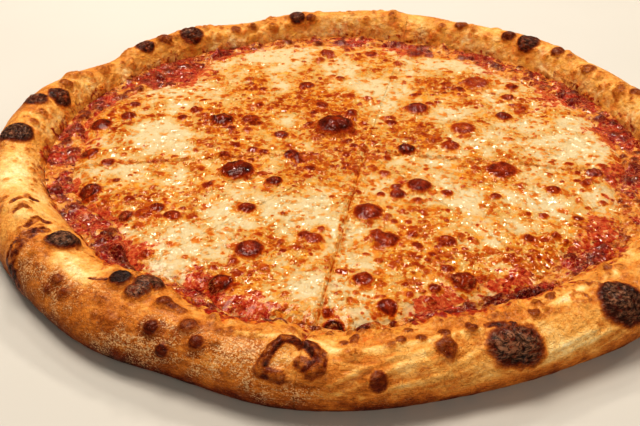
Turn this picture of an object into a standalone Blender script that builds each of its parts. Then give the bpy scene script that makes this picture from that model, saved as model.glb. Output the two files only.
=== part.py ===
# A whole margherita pizza with a puffed rim, cut into eight slices that still lie together.
# Metres, +Z up. The origin is under the middle of the pizza, on the face it rests on.
# Azimuths are in degrees, anticlockwise from +X as seen from above. The photograph looks from 270.

import math

import bmesh
import bpy
from mathutils import Vector, noise

MM = 0.001

# Dough: the thin base, and how the rim's outer side turns in towards the face it rests on
BASE_THICKNESS = 5.0 * MM
WIDEST_HEIGHT = 9.5 * MM
TUCK_DEPTH = 12.0 * MM
TUCK_ANGLE = 60.0
SLOPE_HOLLOW = 1.3

# The rim at stations round the pizza, in millimetres:
# azimuth, outer radius, crest radius, crest height, radius of the inner slope's foot
RIM_STATIONS = (
    (0, 203.0, 186.0, 23.0, 174.5),
    (30, 201.5, 187.0, 22.3, 174.5),
    (48, 203.0, 189.0, 23.5, 175.0),
    (66, 200.5, 187.0, 22.0, 173.0),
    (81, 203.0, 189.0, 23.5, 172.5),
    (92, 200.5, 187.0, 22.2, 176.0),
    (103, 200.0, 187.0, 21.5, 173.5),
    (114, 197.2, 184.0, 18.8, 172.0),
    (127, 201.0, 187.0, 22.0, 174.0),
    (140, 199.5, 186.5, 21.2, 176.0),
    (147, 197.0, 184.0, 18.0, 175.0),
    (157, 201.0, 187.0, 22.0, 174.5),
    (168, 204.0, 190.0, 24.5, 173.5),
    (190, 202.0, 187.0, 23.0, 170.5),
    (203, 200.5, 184.0, 22.5, 164.5),
    (216, 200.2, 185.0, 24.5, 159.5),
    (226, 200.8, 184.0, 24.0, 160.0),
    (237, 202.0, 177.0, 23.5, 152.0),
    (249, 198.7, 184.0, 23.0, 159.5),
    (262, 202.8, 182.0, 23.0, 157.5),
    (271, 202.0, 188.5, 23.0, 160.0),
    (285, 198.4, 177.0, 23.0, 154.5),
    (300, 198.5, 178.5, 22.8, 157.5),
    (312, 202.0, 182.0, 23.5, 158.0),
    (330, 203.0, 185.0, 23.3, 166.0),
)

# Blisters on the rim, in degrees and millimetres:
# azimuth, angle round the section (0 is the outer side, 90 the crest), radius, height
RIM_BLISTERS = (
    (220.5, 117, 12.0, 3.6),
    (218.5, 45, 10.0, 1.8),
    (236.0, 96, 7.0, 3.6),
    (239.5, 110, 9.0, 2.6),
    (248.0, 45, 7.0, 1.4),
    (264.0, 70, 13.0, 2.4),
    (274.2, 38, 8.0, 1.4),
    (283.0, 64, 7.0, 1.6),
    (291.8, 50, 14.0, 3.4),
    (309.0, 62, 14.0, 3.4),
    (333.0, 75, 10.0, 2.2),
    (352.0, 95, 9.0, 2.0),
    (20.0, 95, 9.0, 1.8),
    (47.5, 108, 10.0, 3.2),
    (66.0, 104, 9.0, 1.6),
    (81.0, 98, 9.0, 1.4),
    (102.5, 105, 9.0, 2.6),
    (128.0, 104, 11.0, 2.4),
    (139.2, 92, 9.0, 2.4),
    (159.0, 86, 8.0, 1.6),
    (167.2, 120, 10.0, 2.8),
    (171.2, 84, 10.0, 1.8),
    (183.5, 92, 13.0, 2.8),
)

# Cuts: eight lines from one point, a little off the middle
CUT_MIDDLE = (11.0 * MM, -1.0 * MM)
CUT_AZIMUTHS = (37.0, 80.0, 134.0, 188.0, 227.0, 261.7, 307.0, 352.5)
CUT_GAP = 0.3 * MM
PINCH_WIDTH = 6.0 * MM
PINCH_DEPTH = 1.2 * MM
FRONT_CUT_AZIMUTH = 261.7
FRONT_PINCH_DEPTH = 3.0 * MM

# Sauce: a thin layer from the middle out to the rim's foot
LAYER_GAP = 0.3 * MM
SAUCE_THICKNESS = 1.5 * MM
SAUCE_EDGE_THICKNESS = 0.9 * MM
SAUCE_EDGE_GAP = 0.6 * MM
SAUCE_EDGE_WIDTH = 3.0 * MM

# Cheese: melted out to an uneven edge, with bays where the sauce shows
CHEESE_THICKNESS = 3.0 * MM
CHEESE_EDGE_THICKNESS = 0.8 * MM
CHEESE_EDGE_ROUNDING = 7.0 * MM
CHEESE_RADIUS = 160.0 * MM
CHEESE_EDGE_WAVE = 3.0 * MM
CHEESE_TO_FOOT = 4.0 * MM
SWELL_SIZE = 30.0 * MM
SWELL_HEIGHT = 0.9 * MM

# Sauce bays: azimuth, half width in degrees, depth in millimetres
SAUCE_BAYS = (
    (45, 8, 6),
    (140, 8, 16),
    (180, 7, 7),
    (214, 12, 18),
    (239, 10, 13),
    (283, 12, 15),
    (298, 9, 12),
    (316, 10, 14),
    (345, 9, 8),
)

# The larger cheese bubbles, in millimetres: X, Y, radius, height
CHEESE_BUBBLES = (
    (-7, 27, 13, 5.5),
    (-60, -28, 11, 5.0),
    (-76, 33, 8, 3.0),
    (-59, 34, 7, 2.4),
    (87, -21, 11, 2.6),
    (12, -67, 10, 3.2),
    (40, -39, 8, 3.0),
    (35, 1, 7, 3.0),
    (44, 53, 8, 3.2),
    (70, 27, 9, 2.4),
    (85, 93, 10, 2.2),
    (97, 46, 7, 2.6),
    (-102, -72, 12, 2.6),
    (-137, -51, 8, 3.0),
    (-46, -102, 9, 2.8),
    (21, -91, 8, 2.4),
    (56, -123, 8, 2.8),
    (-57, -129, 8, 2.4),
    (47, 142, 8, 2.6),
    (-149, 24, 8, 2.6),
    (-148, -10, 8, 2.4),
    (-135, 36, 6, 2.0),
    (-27, 85, 7, 2.2),
    (138, -22, 7, 2.0),
)

# How finely the solids are divided
RIM_COLUMNS = 216
SECTION_ANGLES = (-60, -30, 0, 22, 44, 66, 88, 108, 128, 148, 166, 180)
SAUCE_COLUMNS = 144
CHEESE_CELLS = 46

DOUGH_COLOUR = (0.62, 0.33, 0.11)
SAUCE_COLOUR = (0.38, 0.03, 0.01)
CHEESE_COLOUR = (0.83, 0.56, 0.20)


def bell(distance, width):
    return math.exp(-((distance / width) ** 2))


def turn_between(first, second):
    return abs((first - second + 180.0) % 360.0 - 180.0)


def station(index):
    # A station by its number, going round as often as needed
    count = len(RIM_STATIONS)
    turns, place = divmod(index, count)
    azimuth, *sizes = RIM_STATIONS[place]
    return azimuth + 360.0 * turns, [size * MM for size in sizes]


def rim_at(azimuth):
    # Outer radius, crest radius, crest height and foot radius, smooth from station to station
    azimuth %= 360.0
    last = max(i for i in range(len(RIM_STATIONS)) if RIM_STATIONS[i][0] <= azimuth)
    places = [station(last + step) for step in (-1, 0, 1, 2)]
    (a0, v0), (a1, v1), (a2, v2), (a3, v3) = places
    span = a2 - a1
    t = (azimuth - a1) / span
    sizes = []
    for before, start, end, after in zip(v0, v1, v2, v3):
        slope_start = (end - before) / (a2 - a0) * span
        slope_end = (after - start) / (a3 - a1) * span
        sizes.append(
            (2 * t**3 - 3 * t**2 + 1) * start
            + (t**3 - 2 * t**2 + t) * slope_start
            + (3 * t**2 - 2 * t**3) * end
            + (t**3 - t**2) * slope_end
        )
    return sizes


def section_at(azimuth, angle):
    # Radius and height of the plain rim: round outside and on top, hollow at the inner foot
    outer, crest, height, foot = rim_at(azimuth)
    across = math.cos(math.radians(angle))
    up = math.sin(math.radians(angle))
    if angle < 0:
        tuck = TUCK_DEPTH * (1 - across)
        return outer - tuck, WIDEST_HEIGHT * (1 + up / math.sin(math.radians(TUCK_ANGLE)))
    if angle < 90:
        return crest + (outer - crest) * across, WIDEST_HEIGHT + (height - WIDEST_HEIGHT) * up
    rise = (height - BASE_THICKNESS) * abs(up) ** SLOPE_HOLLOW
    return crest + (crest - foot) * across, BASE_THICKNESS + rise


def turned(radius, azimuth, height):
    angle = math.radians(azimuth)
    return Vector((radius * math.cos(angle), radius * math.sin(angle), height))


def rim_point(azimuth, angle):
    radius, height = section_at(azimuth, angle)
    return turned(radius, azimuth, height)


def distance_to_cut(x, y, azimuth):
    # From a point to one cut line, which starts at the middle of the cuts
    dx, dy = x - CUT_MIDDLE[0], y - CUT_MIDDLE[1]
    angle = math.radians(azimuth)
    if dx * math.cos(angle) + dy * math.sin(angle) < 0:
        return math.hypot(dx, dy)
    return abs(dy * math.cos(angle) - dx * math.sin(angle))


def rim_pinch(point):
    # How far the crust is pressed down beside the cuts
    depth = 0.0
    for azimuth in CUT_AZIMUTHS:
        most = FRONT_PINCH_DEPTH if azimuth == FRONT_CUT_AZIMUTH else PINCH_DEPTH
        depth += most * bell(distance_to_cut(point.x, point.y, azimuth), PINCH_WIDTH)
    return depth


def rim_surface(azimuth, angle):
    # The rim with its blisters and the pinch of the cuts
    point = rim_point(azimuth, angle)
    round_section = rim_point(azimuth, min(angle + 4, 176)) - rim_point(azimuth, max(angle - 4, -56))
    round_pizza = rim_point(azimuth + 1, angle) - rim_point(azimuth - 1, angle)
    outward = round_pizza.cross(round_section).normalized()
    push = 0.0
    for place, height_angle, radius, height in RIM_BLISTERS:
        if turn_between(azimuth, place) > 12:
            continue
        away = (point - rim_point(place, height_angle)).length / (radius * MM)
        if away < 1:
            push += height * MM * (1 - away**2) ** 2
    top = math.sin(math.radians(min(max(angle, 0), 180)))
    lowered = rim_pinch(point) * top
    moved = point + outward * push * top
    return Vector((moved.x, moved.y, max(moved.z - lowered, 0.0)))


def cheese_radius(azimuth):
    # The uneven edge of the cheese, never closer to the rim's foot than CHEESE_TO_FOOT
    angle = math.radians(azimuth)
    wave = noise.noise(Vector((3 * math.cos(angle), 3 * math.sin(angle), 0.7)))
    radius = CHEESE_RADIUS + 2 * CHEESE_EDGE_WAVE * wave
    for place, half_width, depth in SAUCE_BAYS:
        radius -= depth * MM * bell(turn_between(azimuth, place), half_width)
    return min(radius, rim_at(azimuth)[3] - CHEESE_TO_FOOT)


def cheese_height(x, y, edge_distance):
    # Thickness of the cheese: rounded edge, slow swells and bubbles
    grown = min(edge_distance / CHEESE_EDGE_ROUNDING, 1.0)
    rounding = math.sqrt(1 - (1 - grown) ** 2)
    swell = SWELL_HEIGHT * noise.noise(Vector((x / SWELL_SIZE, y / SWELL_SIZE, 2.3)))
    thickness = CHEESE_EDGE_THICKNESS + (CHEESE_THICKNESS - CHEESE_EDGE_THICKNESS + swell) * rounding
    for bubble_x, bubble_y, radius, height in CHEESE_BUBBLES:
        away = math.hypot(x - bubble_x * MM, y - bubble_y * MM) / (radius * MM)
        if away < 1:
            thickness += height * MM * (1 - away**2) ** 1.5 * rounding
    return thickness


def square_to_disc(a, b):
    # Radius from 0 to 1 and azimuth of a point of the square -1..1, keeping its cells alike in area
    if abs(a) < 1e-9 and abs(b) < 1e-9:
        return 0.0, 0.0
    if abs(a) > abs(b):
        radius, angle = a, math.pi / 4 * (b / a)
    else:
        radius, angle = b, math.pi / 2 - math.pi / 4 * (a / b)
    if radius < 0:
        radius, angle = -radius, angle + math.pi
    return radius, math.degrees(angle) % 360.0


def finish_mesh(sheet, name, material):
    bmesh.ops.recalc_face_normals(sheet, faces=sheet.faces)
    mesh = bpy.data.meshes.new(name)
    sheet.to_mesh(mesh)
    sheet.free()
    mesh.materials.append(material)
    mesh.shade_smooth()
    return mesh


def wrapped_layer(name, columns, rows, place, material):
    # A grid wrapped round the pizza's axis: place(azimuth, row) gives each point, and the first and
    # last rows close on the axis
    sheet = bmesh.new()
    bmesh.ops.create_grid(sheet, x_segments=columns, y_segments=rows, size=0.5)
    for vert in sheet.verts:
        azimuth = round((vert.co.x + 0.5) * columns) % columns * 360.0 / columns
        vert.co = place(azimuth, round((vert.co.y + 0.5) * rows))
    bmesh.ops.remove_doubles(sheet, verts=sheet.verts, dist=1e-6)
    return finish_mesh(sheet, name, material)


def make_crust(material):
    rows = len(SECTION_ANGLES) + 1

    def place(azimuth, row):
        if row == 0:
            return Vector((0, 0, 0))
        if row == rows:
            return Vector((0, 0, BASE_THICKNESS))
        return rim_surface(azimuth, SECTION_ANGLES[row - 1])

    return wrapped_layer("crust", RIM_COLUMNS, rows, place, material)


def make_sauce(material):
    bottom = BASE_THICKNESS + LAYER_GAP

    def place(azimuth, row):
        edge = rim_at(azimuth)[3] - SAUCE_EDGE_GAP
        rings = (
            (0.0, bottom),
            (edge, bottom),
            (edge, bottom + SAUCE_EDGE_THICKNESS),
            (edge - SAUCE_EDGE_WIDTH, bottom + SAUCE_THICKNESS),
            (0.0, bottom + SAUCE_THICKNESS),
        )
        radius, height = rings[row]
        return turned(radius, azimuth, height)

    return wrapped_layer("sauce", SAUCE_COLUMNS, 4, place, material)


def make_cheese(material):
    # A square grid drawn out to the cheese's outline, closed by a skirt and a flat underside
    bottom = BASE_THICKNESS + SAUCE_THICKNESS + 2 * LAYER_GAP
    sheet = bmesh.new()
    bmesh.ops.create_grid(sheet, x_segments=CHEESE_CELLS, y_segments=CHEESE_CELLS, size=1.0)
    for vert in sheet.verts:
        share, azimuth = square_to_disc(vert.co.x, vert.co.y)
        edge = cheese_radius(azimuth)
        point = turned(share * edge, azimuth, 0.0)
        thickness = cheese_height(point.x, point.y, (1 - share) * edge)
        vert.co = (point.x, point.y, bottom + thickness)
    rim_edges = [edge for edge in sheet.edges if edge.is_boundary]
    skirt = bmesh.ops.extrude_edge_only(sheet, edges=rim_edges)["geom"]
    for vert in skirt:
        if isinstance(vert, bmesh.types.BMVert):
            vert.co.z = bottom
    loop = [edge for edge in sheet.edges if edge.is_boundary]
    bmesh.ops.edgeloop_fill(sheet, edges=loop)
    return finish_mesh(sheet, "cheese", material)


def middle_of(mesh):
    # The middle of a mesh's box, seen from above
    xs = [vert.co.x for vert in mesh.vertices]
    ys = [vert.co.y for vert in mesh.vertices]
    return (min(xs) + max(xs)) / 2, (min(ys) + max(ys)) / 2


def make_wedge(number, start, end, collection):
    # A tall prism between two cut lines, drawn back from each by half the gap
    half_turn = math.radians(end - start) / 2
    reach = 0.4
    tip = turned(CUT_GAP / 2 / math.sin(half_turn), start + math.degrees(half_turn), 0)
    corners = [tip, tip + turned(reach, start, 0), tip + turned(reach, end, 0)]
    outline = bpy.data.curves.new(f"wedge_{number}", "CURVE")
    outline.dimensions = "2D"
    outline.fill_mode = "BOTH"
    outline.extrude = 0.05
    spline = outline.splines.new("POLY")
    spline.points.add(len(corners) - 1)
    for point, corner in zip(spline.points, corners):
        point.co = (corner.x + CUT_MIDDLE[0], corner.y + CUT_MIDDLE[1], 0, 1)
    spline.use_cyclic_u = True
    drawn = bpy.data.objects.new(f"wedge_outline_{number}", outline)
    collection.objects.link(drawn)
    bpy.context.view_layer.update()
    shape = bmesh.new()
    shape.from_mesh(bpy.data.meshes.new_from_object(drawn.evaluated_get(bpy.context.evaluated_depsgraph_get())))
    bmesh.ops.remove_doubles(shape, verts=shape.verts, dist=1e-6)
    bmesh.ops.recalc_face_normals(shape, faces=shape.faces)
    mesh = bpy.data.meshes.new(f"wedge_{number}")
    shape.to_mesh(mesh)
    shape.free()
    bpy.data.objects.remove(drawn)
    wedge = bpy.data.objects.new(f"wedge_{number}", mesh)
    wedge.hide_render = True
    wedge.display_type = "WIRE"
    collection.objects.link(wedge)
    return wedge


def make_slice(layer, number, wedge, collection):
    # One slice of one layer: the whole layer, kept only inside its wedge
    piece = bpy.data.objects.new(f"{layer.name}_slice_{number}", layer)
    collection.objects.link(piece)
    cut = piece.modifiers.new("Cut", "BOOLEAN")
    cut.operation = "INTERSECT"
    cut.solver = "EXACT"
    cut.object = wedge
    return piece


def make_material(name, colour, roughness):
    material = bpy.data.materials.new(name)
    material.use_nodes = True
    shader = material.node_tree.nodes["Principled BSDF"]
    shader.inputs["Base Color"].default_value = (*colour, 1.0)
    shader.inputs["Roughness"].default_value = roughness
    shader.inputs["Metallic"].default_value = 0.0
    return material


def make_collection(name):
    collection = bpy.data.collections.new(name)
    bpy.context.scene.collection.children.link(collection)
    return collection


def main():
    for old in list(bpy.data.objects):
        bpy.data.objects.remove(old)
    pizza = make_collection("pizza")
    cutters = make_collection("cutters")
    layers = (
        make_crust(make_material("dough", DOUGH_COLOUR, 0.75)),
        make_sauce(make_material("tomato_sauce", SAUCE_COLOUR, 0.35)),
        make_cheese(make_material("melted_cheese", CHEESE_COLOUR, 0.4)),
    )
    middle_x, middle_y = middle_of(layers[0])
    ends = CUT_AZIMUTHS[1:] + (CUT_AZIMUTHS[0] + 360.0,)
    for number, (start, end) in enumerate(zip(CUT_AZIMUTHS, ends), 1):
        wedge = make_wedge(number, start, end, cutters)
        wedge.location = (-middle_x, -middle_y, 0)
        for layer in layers:
            piece = make_slice(layer, number, wedge, pizza)
            piece.location = (-middle_x, -middle_y, 0)


main()
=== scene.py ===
import math

import bpy
import numpy as np
from mathutils import Matrix, Vector, kdtree, noise


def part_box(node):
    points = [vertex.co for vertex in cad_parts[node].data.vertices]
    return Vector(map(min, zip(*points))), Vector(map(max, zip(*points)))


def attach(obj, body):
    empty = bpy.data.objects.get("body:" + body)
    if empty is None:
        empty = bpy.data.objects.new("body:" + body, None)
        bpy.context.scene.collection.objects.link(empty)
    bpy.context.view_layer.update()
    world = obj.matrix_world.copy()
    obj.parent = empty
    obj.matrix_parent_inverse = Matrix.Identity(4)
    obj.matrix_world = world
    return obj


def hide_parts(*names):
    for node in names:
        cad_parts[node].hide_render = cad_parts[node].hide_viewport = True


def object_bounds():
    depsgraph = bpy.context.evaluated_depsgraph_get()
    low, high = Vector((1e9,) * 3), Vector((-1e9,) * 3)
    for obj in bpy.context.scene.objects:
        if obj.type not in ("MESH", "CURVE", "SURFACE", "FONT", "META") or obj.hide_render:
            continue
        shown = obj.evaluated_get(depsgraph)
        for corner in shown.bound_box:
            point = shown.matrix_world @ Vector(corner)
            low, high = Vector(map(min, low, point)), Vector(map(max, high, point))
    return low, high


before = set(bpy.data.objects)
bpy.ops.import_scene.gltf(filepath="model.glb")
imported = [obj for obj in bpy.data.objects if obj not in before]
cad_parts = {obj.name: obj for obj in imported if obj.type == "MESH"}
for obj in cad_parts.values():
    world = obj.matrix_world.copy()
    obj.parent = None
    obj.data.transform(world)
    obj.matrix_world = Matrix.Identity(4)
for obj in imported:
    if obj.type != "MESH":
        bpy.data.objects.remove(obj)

# The looks of a whole margherita pizza in eight slices: baked dough, tomato sauce and melted cheese.
# Each slice of each layer is a fine mesh in the place of its CAD solid. Relief, browning, oil and
# flour, and some painted light and shade, are worked out point by point from named places and from
# noise, and the materials add the grain that is finer than the mesh. Metres, +Z up. Azimuths and
# section angles are in degrees, as in the CAD model: azimuth 270 is the side nearest to the camera,
# section angle 0 is the rim's outer side, 90 its crest and 180 the foot of its inner slope.

cadLow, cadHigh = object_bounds()
mm = 0.001

baseThickness = 5.0 * mm
widestHeight = 9.5 * mm
tuckDepth = 12.0 * mm
tuckAngle = 60.0
slopeHollow = 1.3

# azimuth, outer radius, crest radius, crest height, foot radius (millimetres)
rimStations = np.array((
    (0, 203.0, 186.0, 23.0, 174.5),
    (30, 201.5, 187.0, 22.3, 174.5),
    (48, 203.0, 189.0, 23.5, 175.0),
    (66, 200.5, 187.0, 22.0, 173.0),
    (81, 203.0, 189.0, 23.5, 172.5),
    (92, 200.5, 187.0, 22.2, 176.0),
    (103, 200.0, 187.0, 21.5, 173.5),
    (114, 197.2, 184.0, 18.8, 172.0),
    (127, 201.0, 187.0, 22.0, 174.0),
    (140, 199.5, 186.5, 21.2, 176.0),
    (147, 197.0, 184.0, 18.0, 175.0),
    (157, 201.0, 187.0, 22.0, 174.5),
    (168, 204.0, 190.0, 24.5, 173.5),
    (190, 202.0, 187.0, 23.0, 170.5),
    (203, 200.5, 184.0, 22.5, 164.5),
    (216, 200.2, 185.0, 24.5, 159.5),
    (226, 200.8, 184.0, 24.0, 160.0),
    (237, 202.0, 177.0, 23.5, 152.0),
    (249, 198.7, 184.0, 23.0, 159.5),
    (262, 202.8, 182.0, 23.0, 157.5),
    (271, 202.0, 188.5, 23.0, 160.0),
    (285, 198.4, 177.0, 23.0, 154.5),
    (300, 198.5, 178.5, 22.8, 157.5),
    (312, 202.0, 182.0, 23.5, 158.0),
    (330, 203.0, 185.0, 23.3, 166.0),
))

cutMiddle = np.array((11.0, -1.0)) * mm
cutAzimuths = (37.0, 80.0, 134.0, 188.0, 227.0, 261.7, 307.0, 352.5)
cadCutGap = 0.3 * mm
seamGap = 0.02 * mm        # the melted cheese nearly closes the cuts again
frontCut = 261.7
openSeams = (188.0, 261.7, 352.5)   # the three cuts that the photograph shows

sauceBottom = baseThickness + 0.3 * mm
sauceTop = 6.8 * mm
cheeseBottom = 7.1 * mm
cheese = dict(thickness=3.0 * mm, edgeThickness=0.12 * mm, edgeRounding=12.0 * mm,
              radius=160.0 * mm, wave=3.0 * mm, toFoot=4.0 * mm,
              swellSize=30.0 * mm, swellHeight=0.9 * mm)

# Bays in the cheese where the sauce shows: azimuth, half width in degrees, depth in millimetres
sauceBays = (
    (45, 8, 6), (140, 8, 16), (180, 7, 7), (214, 12, 18), (239, 10, 13),
    (283, 12, 15), (298, 9, 12), (316, 10, 14), (345, 9, 8),
)

# Places on the pizza as the photograph shows them: X, Y and radius in millimetres. On the calm ones
# the cheese stays pale, on the busy ones it is browned, and on the red ones the sauce shows.
calmPlaces = (
    (-40, 130, 25), (15, 85, 18), (-118, 15, 24), (-105, 52, 14), (-78, -100, 24), (-12, -72, 16),
    (100, -45, 22), (62, -48, 16), (130, 10, 20), (85, 22, 12), (-20, -130, 15), (80, 120, 17),
    (58, 45, 11), (-130, -25, 16), (-62, -75, 12),
)
busyPlaces = (
    (-15, 60, 26), (0, 12, 24), (42, 18, 14), (-70, 36, 24), (-60, -8, 16), (-18, -18, 16),
    (75, -20, 14), (-105, -70, 13), (42, -100, 26), (92, -98, 16), (-55, -128, 14), (20, -128, 12),
    (60, 80, 16), (110, 60, 12), (-60, 90, 10),
)
redPlaces = (
    (-122, 108, 26), (-88, 145, 18), (-160, 62, 14), (-167, 20, 12), (-165, -12, 12),
    (-158, -48, 12), (-138, -76, 17), (-112, -108, 15), (-68, -134, 13), (-42, -146, 12),
    (45, -142, 14), (80, -125, 16), (118, -103, 14), (128, -76, 12), (144, 82, 22), (163, 30, 16),
    (38, 150, 17), (2, 160, 12), (96, 142, 13), (155, -20, 12),
)


def smooth(value, low, high):
    share = np.clip((value - low) / (high - low), 0, 1)
    return share * share * (3 - 2 * share)


def bell(distance, width):
    return np.exp(-((distance / width) ** 2))


def turnBetween(first, second):
    return np.abs((first - second + 180) % 360 - 180)


def noiseAt(points, size, seed=0.0):
    # Smooth noise, about -1 to 1, with features of this size in metres
    return np.array([noise.noise(point) for point in (points / size + seed).tolist()])


def folded(values):
    # Noise folded into thin ridges with their tops at 1
    return 1 - np.abs(values) * 2.2


def ridgesAt(points, size, seed=0.0):
    return folded(noiseAt(points, size, seed))


def rimNoise(azimuth, angle, width, height, seed):
    # Noise drawn on the rim, with features of a width and a height in degrees
    return noiseAt(np.stack((azimuth / width, angle / height, 0 * angle + seed), -1), 1.0)


def turned(radius, azimuth, height):
    angle = np.radians(azimuth)
    return np.stack(np.broadcast_arrays(radius * np.cos(angle), radius * np.sin(angle), height), -1)


def rimAt(azimuth):
    # Outer radius, crest radius, crest height and foot radius, smooth from station to station
    azimuth = np.asarray(azimuth, float) % 360
    count = len(rimStations)
    last = np.searchsorted(rimStations[:, 0], azimuth, side="right") - 1
    near = []
    for step in (-1, 0, 1, 2):
        turns, place = np.divmod(last + step, count)
        near.append((rimStations[place, 0] + 360 * turns, rimStations[place, 1:] * mm))
    (a0, v0), (a1, v1), (a2, v2), (a3, v3) = near
    t = ((azimuth - a1) / (a2 - a1))[..., None]
    slopeStart = (v2 - v0) * ((a2 - a1) / (a2 - a0))[..., None]
    slopeEnd = (v3 - v1) * ((a2 - a1) / (a3 - a1))[..., None]
    sizes = ((2 * t**3 - 3 * t**2 + 1) * v1 + (t**3 - 2 * t**2 + t) * slopeStart
             + (3 * t**2 - 2 * t**3) * v2 + (t**3 - t**2) * slopeEnd)
    return np.moveaxis(sizes, -1, 0)


def sectionAt(azimuth, angle):
    # Radius and height of the plain rim
    outer, crest, height, foot = rimAt(azimuth)
    across, up = np.cos(np.radians(angle)), np.sin(np.radians(angle))
    below, outside = angle < 0, angle < 90
    radius = np.where(below, outer - tuckDepth * (1 - across),
                      np.where(outside, crest + (outer - crest) * across,
                               crest + (crest - foot) * across))
    rise = np.where(below, widestHeight * (1 + up / math.sin(math.radians(tuckAngle))),
                    np.where(outside, widestHeight + (height - widestHeight) * up,
                             baseThickness + (height - baseThickness) * np.abs(up) ** slopeHollow))
    return radius, rise


def rimPoint(azimuth, angle):
    azimuth, angle = np.broadcast_arrays(np.asarray(azimuth, float), np.asarray(angle, float))
    radius, height = sectionAt(azimuth, angle)
    return turned(radius, azimuth, height)


def seamDistance(points, azimuth):
    # From points to one cut line, which starts at the middle of the cuts
    away = points[:, :2] - cutMiddle
    angle = math.radians(azimuth)
    along = away[:, 0] * math.cos(angle) + away[:, 1] * math.sin(angle)
    across = np.abs(away[:, 1] * math.cos(angle) - away[:, 0] * math.sin(angle))
    return np.where(along < 0, np.hypot(away[:, 0], away[:, 1]), across)


def pathDistance(points, path):
    # From points to a line drawn on the rim through (azimuth, section angle) places
    corners = rimPoint([place[0] for place in path], [place[1] for place in path])
    nearest = np.full(len(points), 1.0)
    for start, end in zip(corners[:-1], corners[1:]):
        run = end - start
        share = np.clip(((points - start) @ run) / (run @ run), 0, 1)
        nearest = np.minimum(nearest, np.linalg.norm(points - start - share[:, None] * run, axis=1))
    return nearest


def touchedBySpots(points, centres, radii, unevenness):
    # For each spot: the points near it, and their distance from its middle as a share of its radius.
    # The unevenness of each point bends the spot's outline.
    tree = kdtree.KDTree(len(points))
    for number, point in enumerate(points.tolist()):
        tree.insert(point, number)
    tree.balance()
    for number, (centre, radius) in enumerate(zip(centres.tolist(), radii.tolist())):
        found = tree.find_range(centre, radius * 1.7)
        if found:
            index = np.array([item[1] for item in found])
            share = np.array([item[2] for item in found]) / radius
            yield number, index, share * (1 + unevenness[index])


def nearPlaces(points, places):
    # How near points are to the nearest of some round places (X, Y, radius in millimetres)
    found = np.zeros(len(points))
    for x, y, radius in places:
        away = np.hypot(points[:, 0] - x * mm, points[:, 1] - y * mm)
        found = np.maximum(found, bell(away, radius * mm))
    return found


def sliceFrame(number):
    # A slice's tip, and the directions of its two cut lines in degrees
    start = cutAzimuths[number]
    end = cutAzimuths[(number + 1) % 8]
    end += 360.0 if end < start else 0.0
    half = math.radians(end - start) / 2
    middle = math.radians(start) + half
    tip = cutMiddle + seamGap / 2 / math.sin(half) * np.array((math.cos(middle), math.sin(middle)))
    return tip, start, end


def reachOnRays(tip, rays, radiusAt):
    # Where rays from a slice's tip meet a round outline: the distance, and the azimuth there
    ways = np.stack((np.cos(np.radians(rays)), np.sin(np.radians(rays))), -1)
    along = ways @ tip
    azimuth = rays
    for _ in range(5):
        reach = -along + np.sqrt(radiusAt(azimuth) ** 2 - tip @ tip + along**2)
        spot = tip + ways * reach[..., None]
        azimuth = np.degrees(np.arctan2(spot[..., 1], spot[..., 0])) % 360
    return reach, azimuth


def shiftToFrame():
    # The CAD model's origin is under the middle of its box. The first slice's tip is its lowest X
    # and Y, which tells how far that is from the origin of the form functions.
    half = math.radians(cutAzimuths[1] - cutAzimuths[0]) / 2
    middle = math.radians(cutAzimuths[0]) + half
    tip = cutMiddle + cadCutGap / 2 / math.sin(half) * np.array((math.cos(middle), math.sin(middle)))
    low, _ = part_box("cheese_slice_1")
    return np.array((low[0], low[1])) - tip


frameShift = np.array((*shiftToFrame(), 0.0))


def fill(tree, node, sockets):
    # Links or constants for a node's inputs
    for name, value in sockets.items():
        if isinstance(value, bpy.types.NodeSocket):
            tree.links.new(value, node.inputs[name])
        else:
            node.inputs[name].default_value = value


def addNode(tree, kind, sockets=None, **settings):
    made = tree.nodes.new(kind)
    for name, value in settings.items():
        setattr(made, name, value)
    fill(tree, made, sockets or {})
    return made


def addGroup(tree, group, sockets):
    return addNode(tree, "ShaderNodeGroup", sockets, node_tree=group).outputs


def linear(red, green, blue):
    # A colour as seen on a screen, 0 to 255, for a shader socket
    parts = [value / 255 for value in (red, green, blue)]
    return tuple(v / 12.92 if v <= 0.04045 else ((v + 0.055) / 1.055) ** 2.4 for v in parts) + (1.0,)


def addMath(tree, operation, first, second=0.0, third=0.0):
    return addNode(tree, "ShaderNodeMath", {0: first, 1: second, 2: third},
                   operation=operation).outputs[0]


def times(tree, first, second):
    return addMath(tree, "MULTIPLY", first, second)


def plus(tree, first, second):
    return addMath(tree, "ADD", first, second)


def scaled(tree, value, factor, start):
    return addMath(tree, "MULTIPLY_ADD", value, factor, start)


def addMix(tree, share, first, second):
    made = addNode(tree, "ShaderNodeMix", {0: share, 6: first, 7: second}, data_type="RGBA")
    return made.outputs[2]


def tinted(tree, mask, strength, colour, tint):
    # A colour with another one laid over it where the mask says
    return addMix(tree, times(tree, mask, strength), colour, tint)


def addRamp(tree, value, stops):
    made = addNode(tree, "ShaderNodeValToRGB", {0: value})
    points = made.color_ramp.elements
    while len(points) < len(stops):
        points.new(0.5)
    for point, (place, colour) in zip(points, stops):
        point.position = place
        point.color = linear(*colour)
    return made.outputs[0]


def addStep(tree, value, low, high):
    # A soft step from 0 at low to 1 at high
    return addNode(tree, "ShaderNodeMapRange", {"Value": value, "From Min": low, "From Max": high},
                   interpolation_type="SMOOTHSTEP").outputs[0]


def addField(tree, name):
    return addNode(tree, "ShaderNodeAttribute", attribute_name=name).outputs["Fac"]


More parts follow.
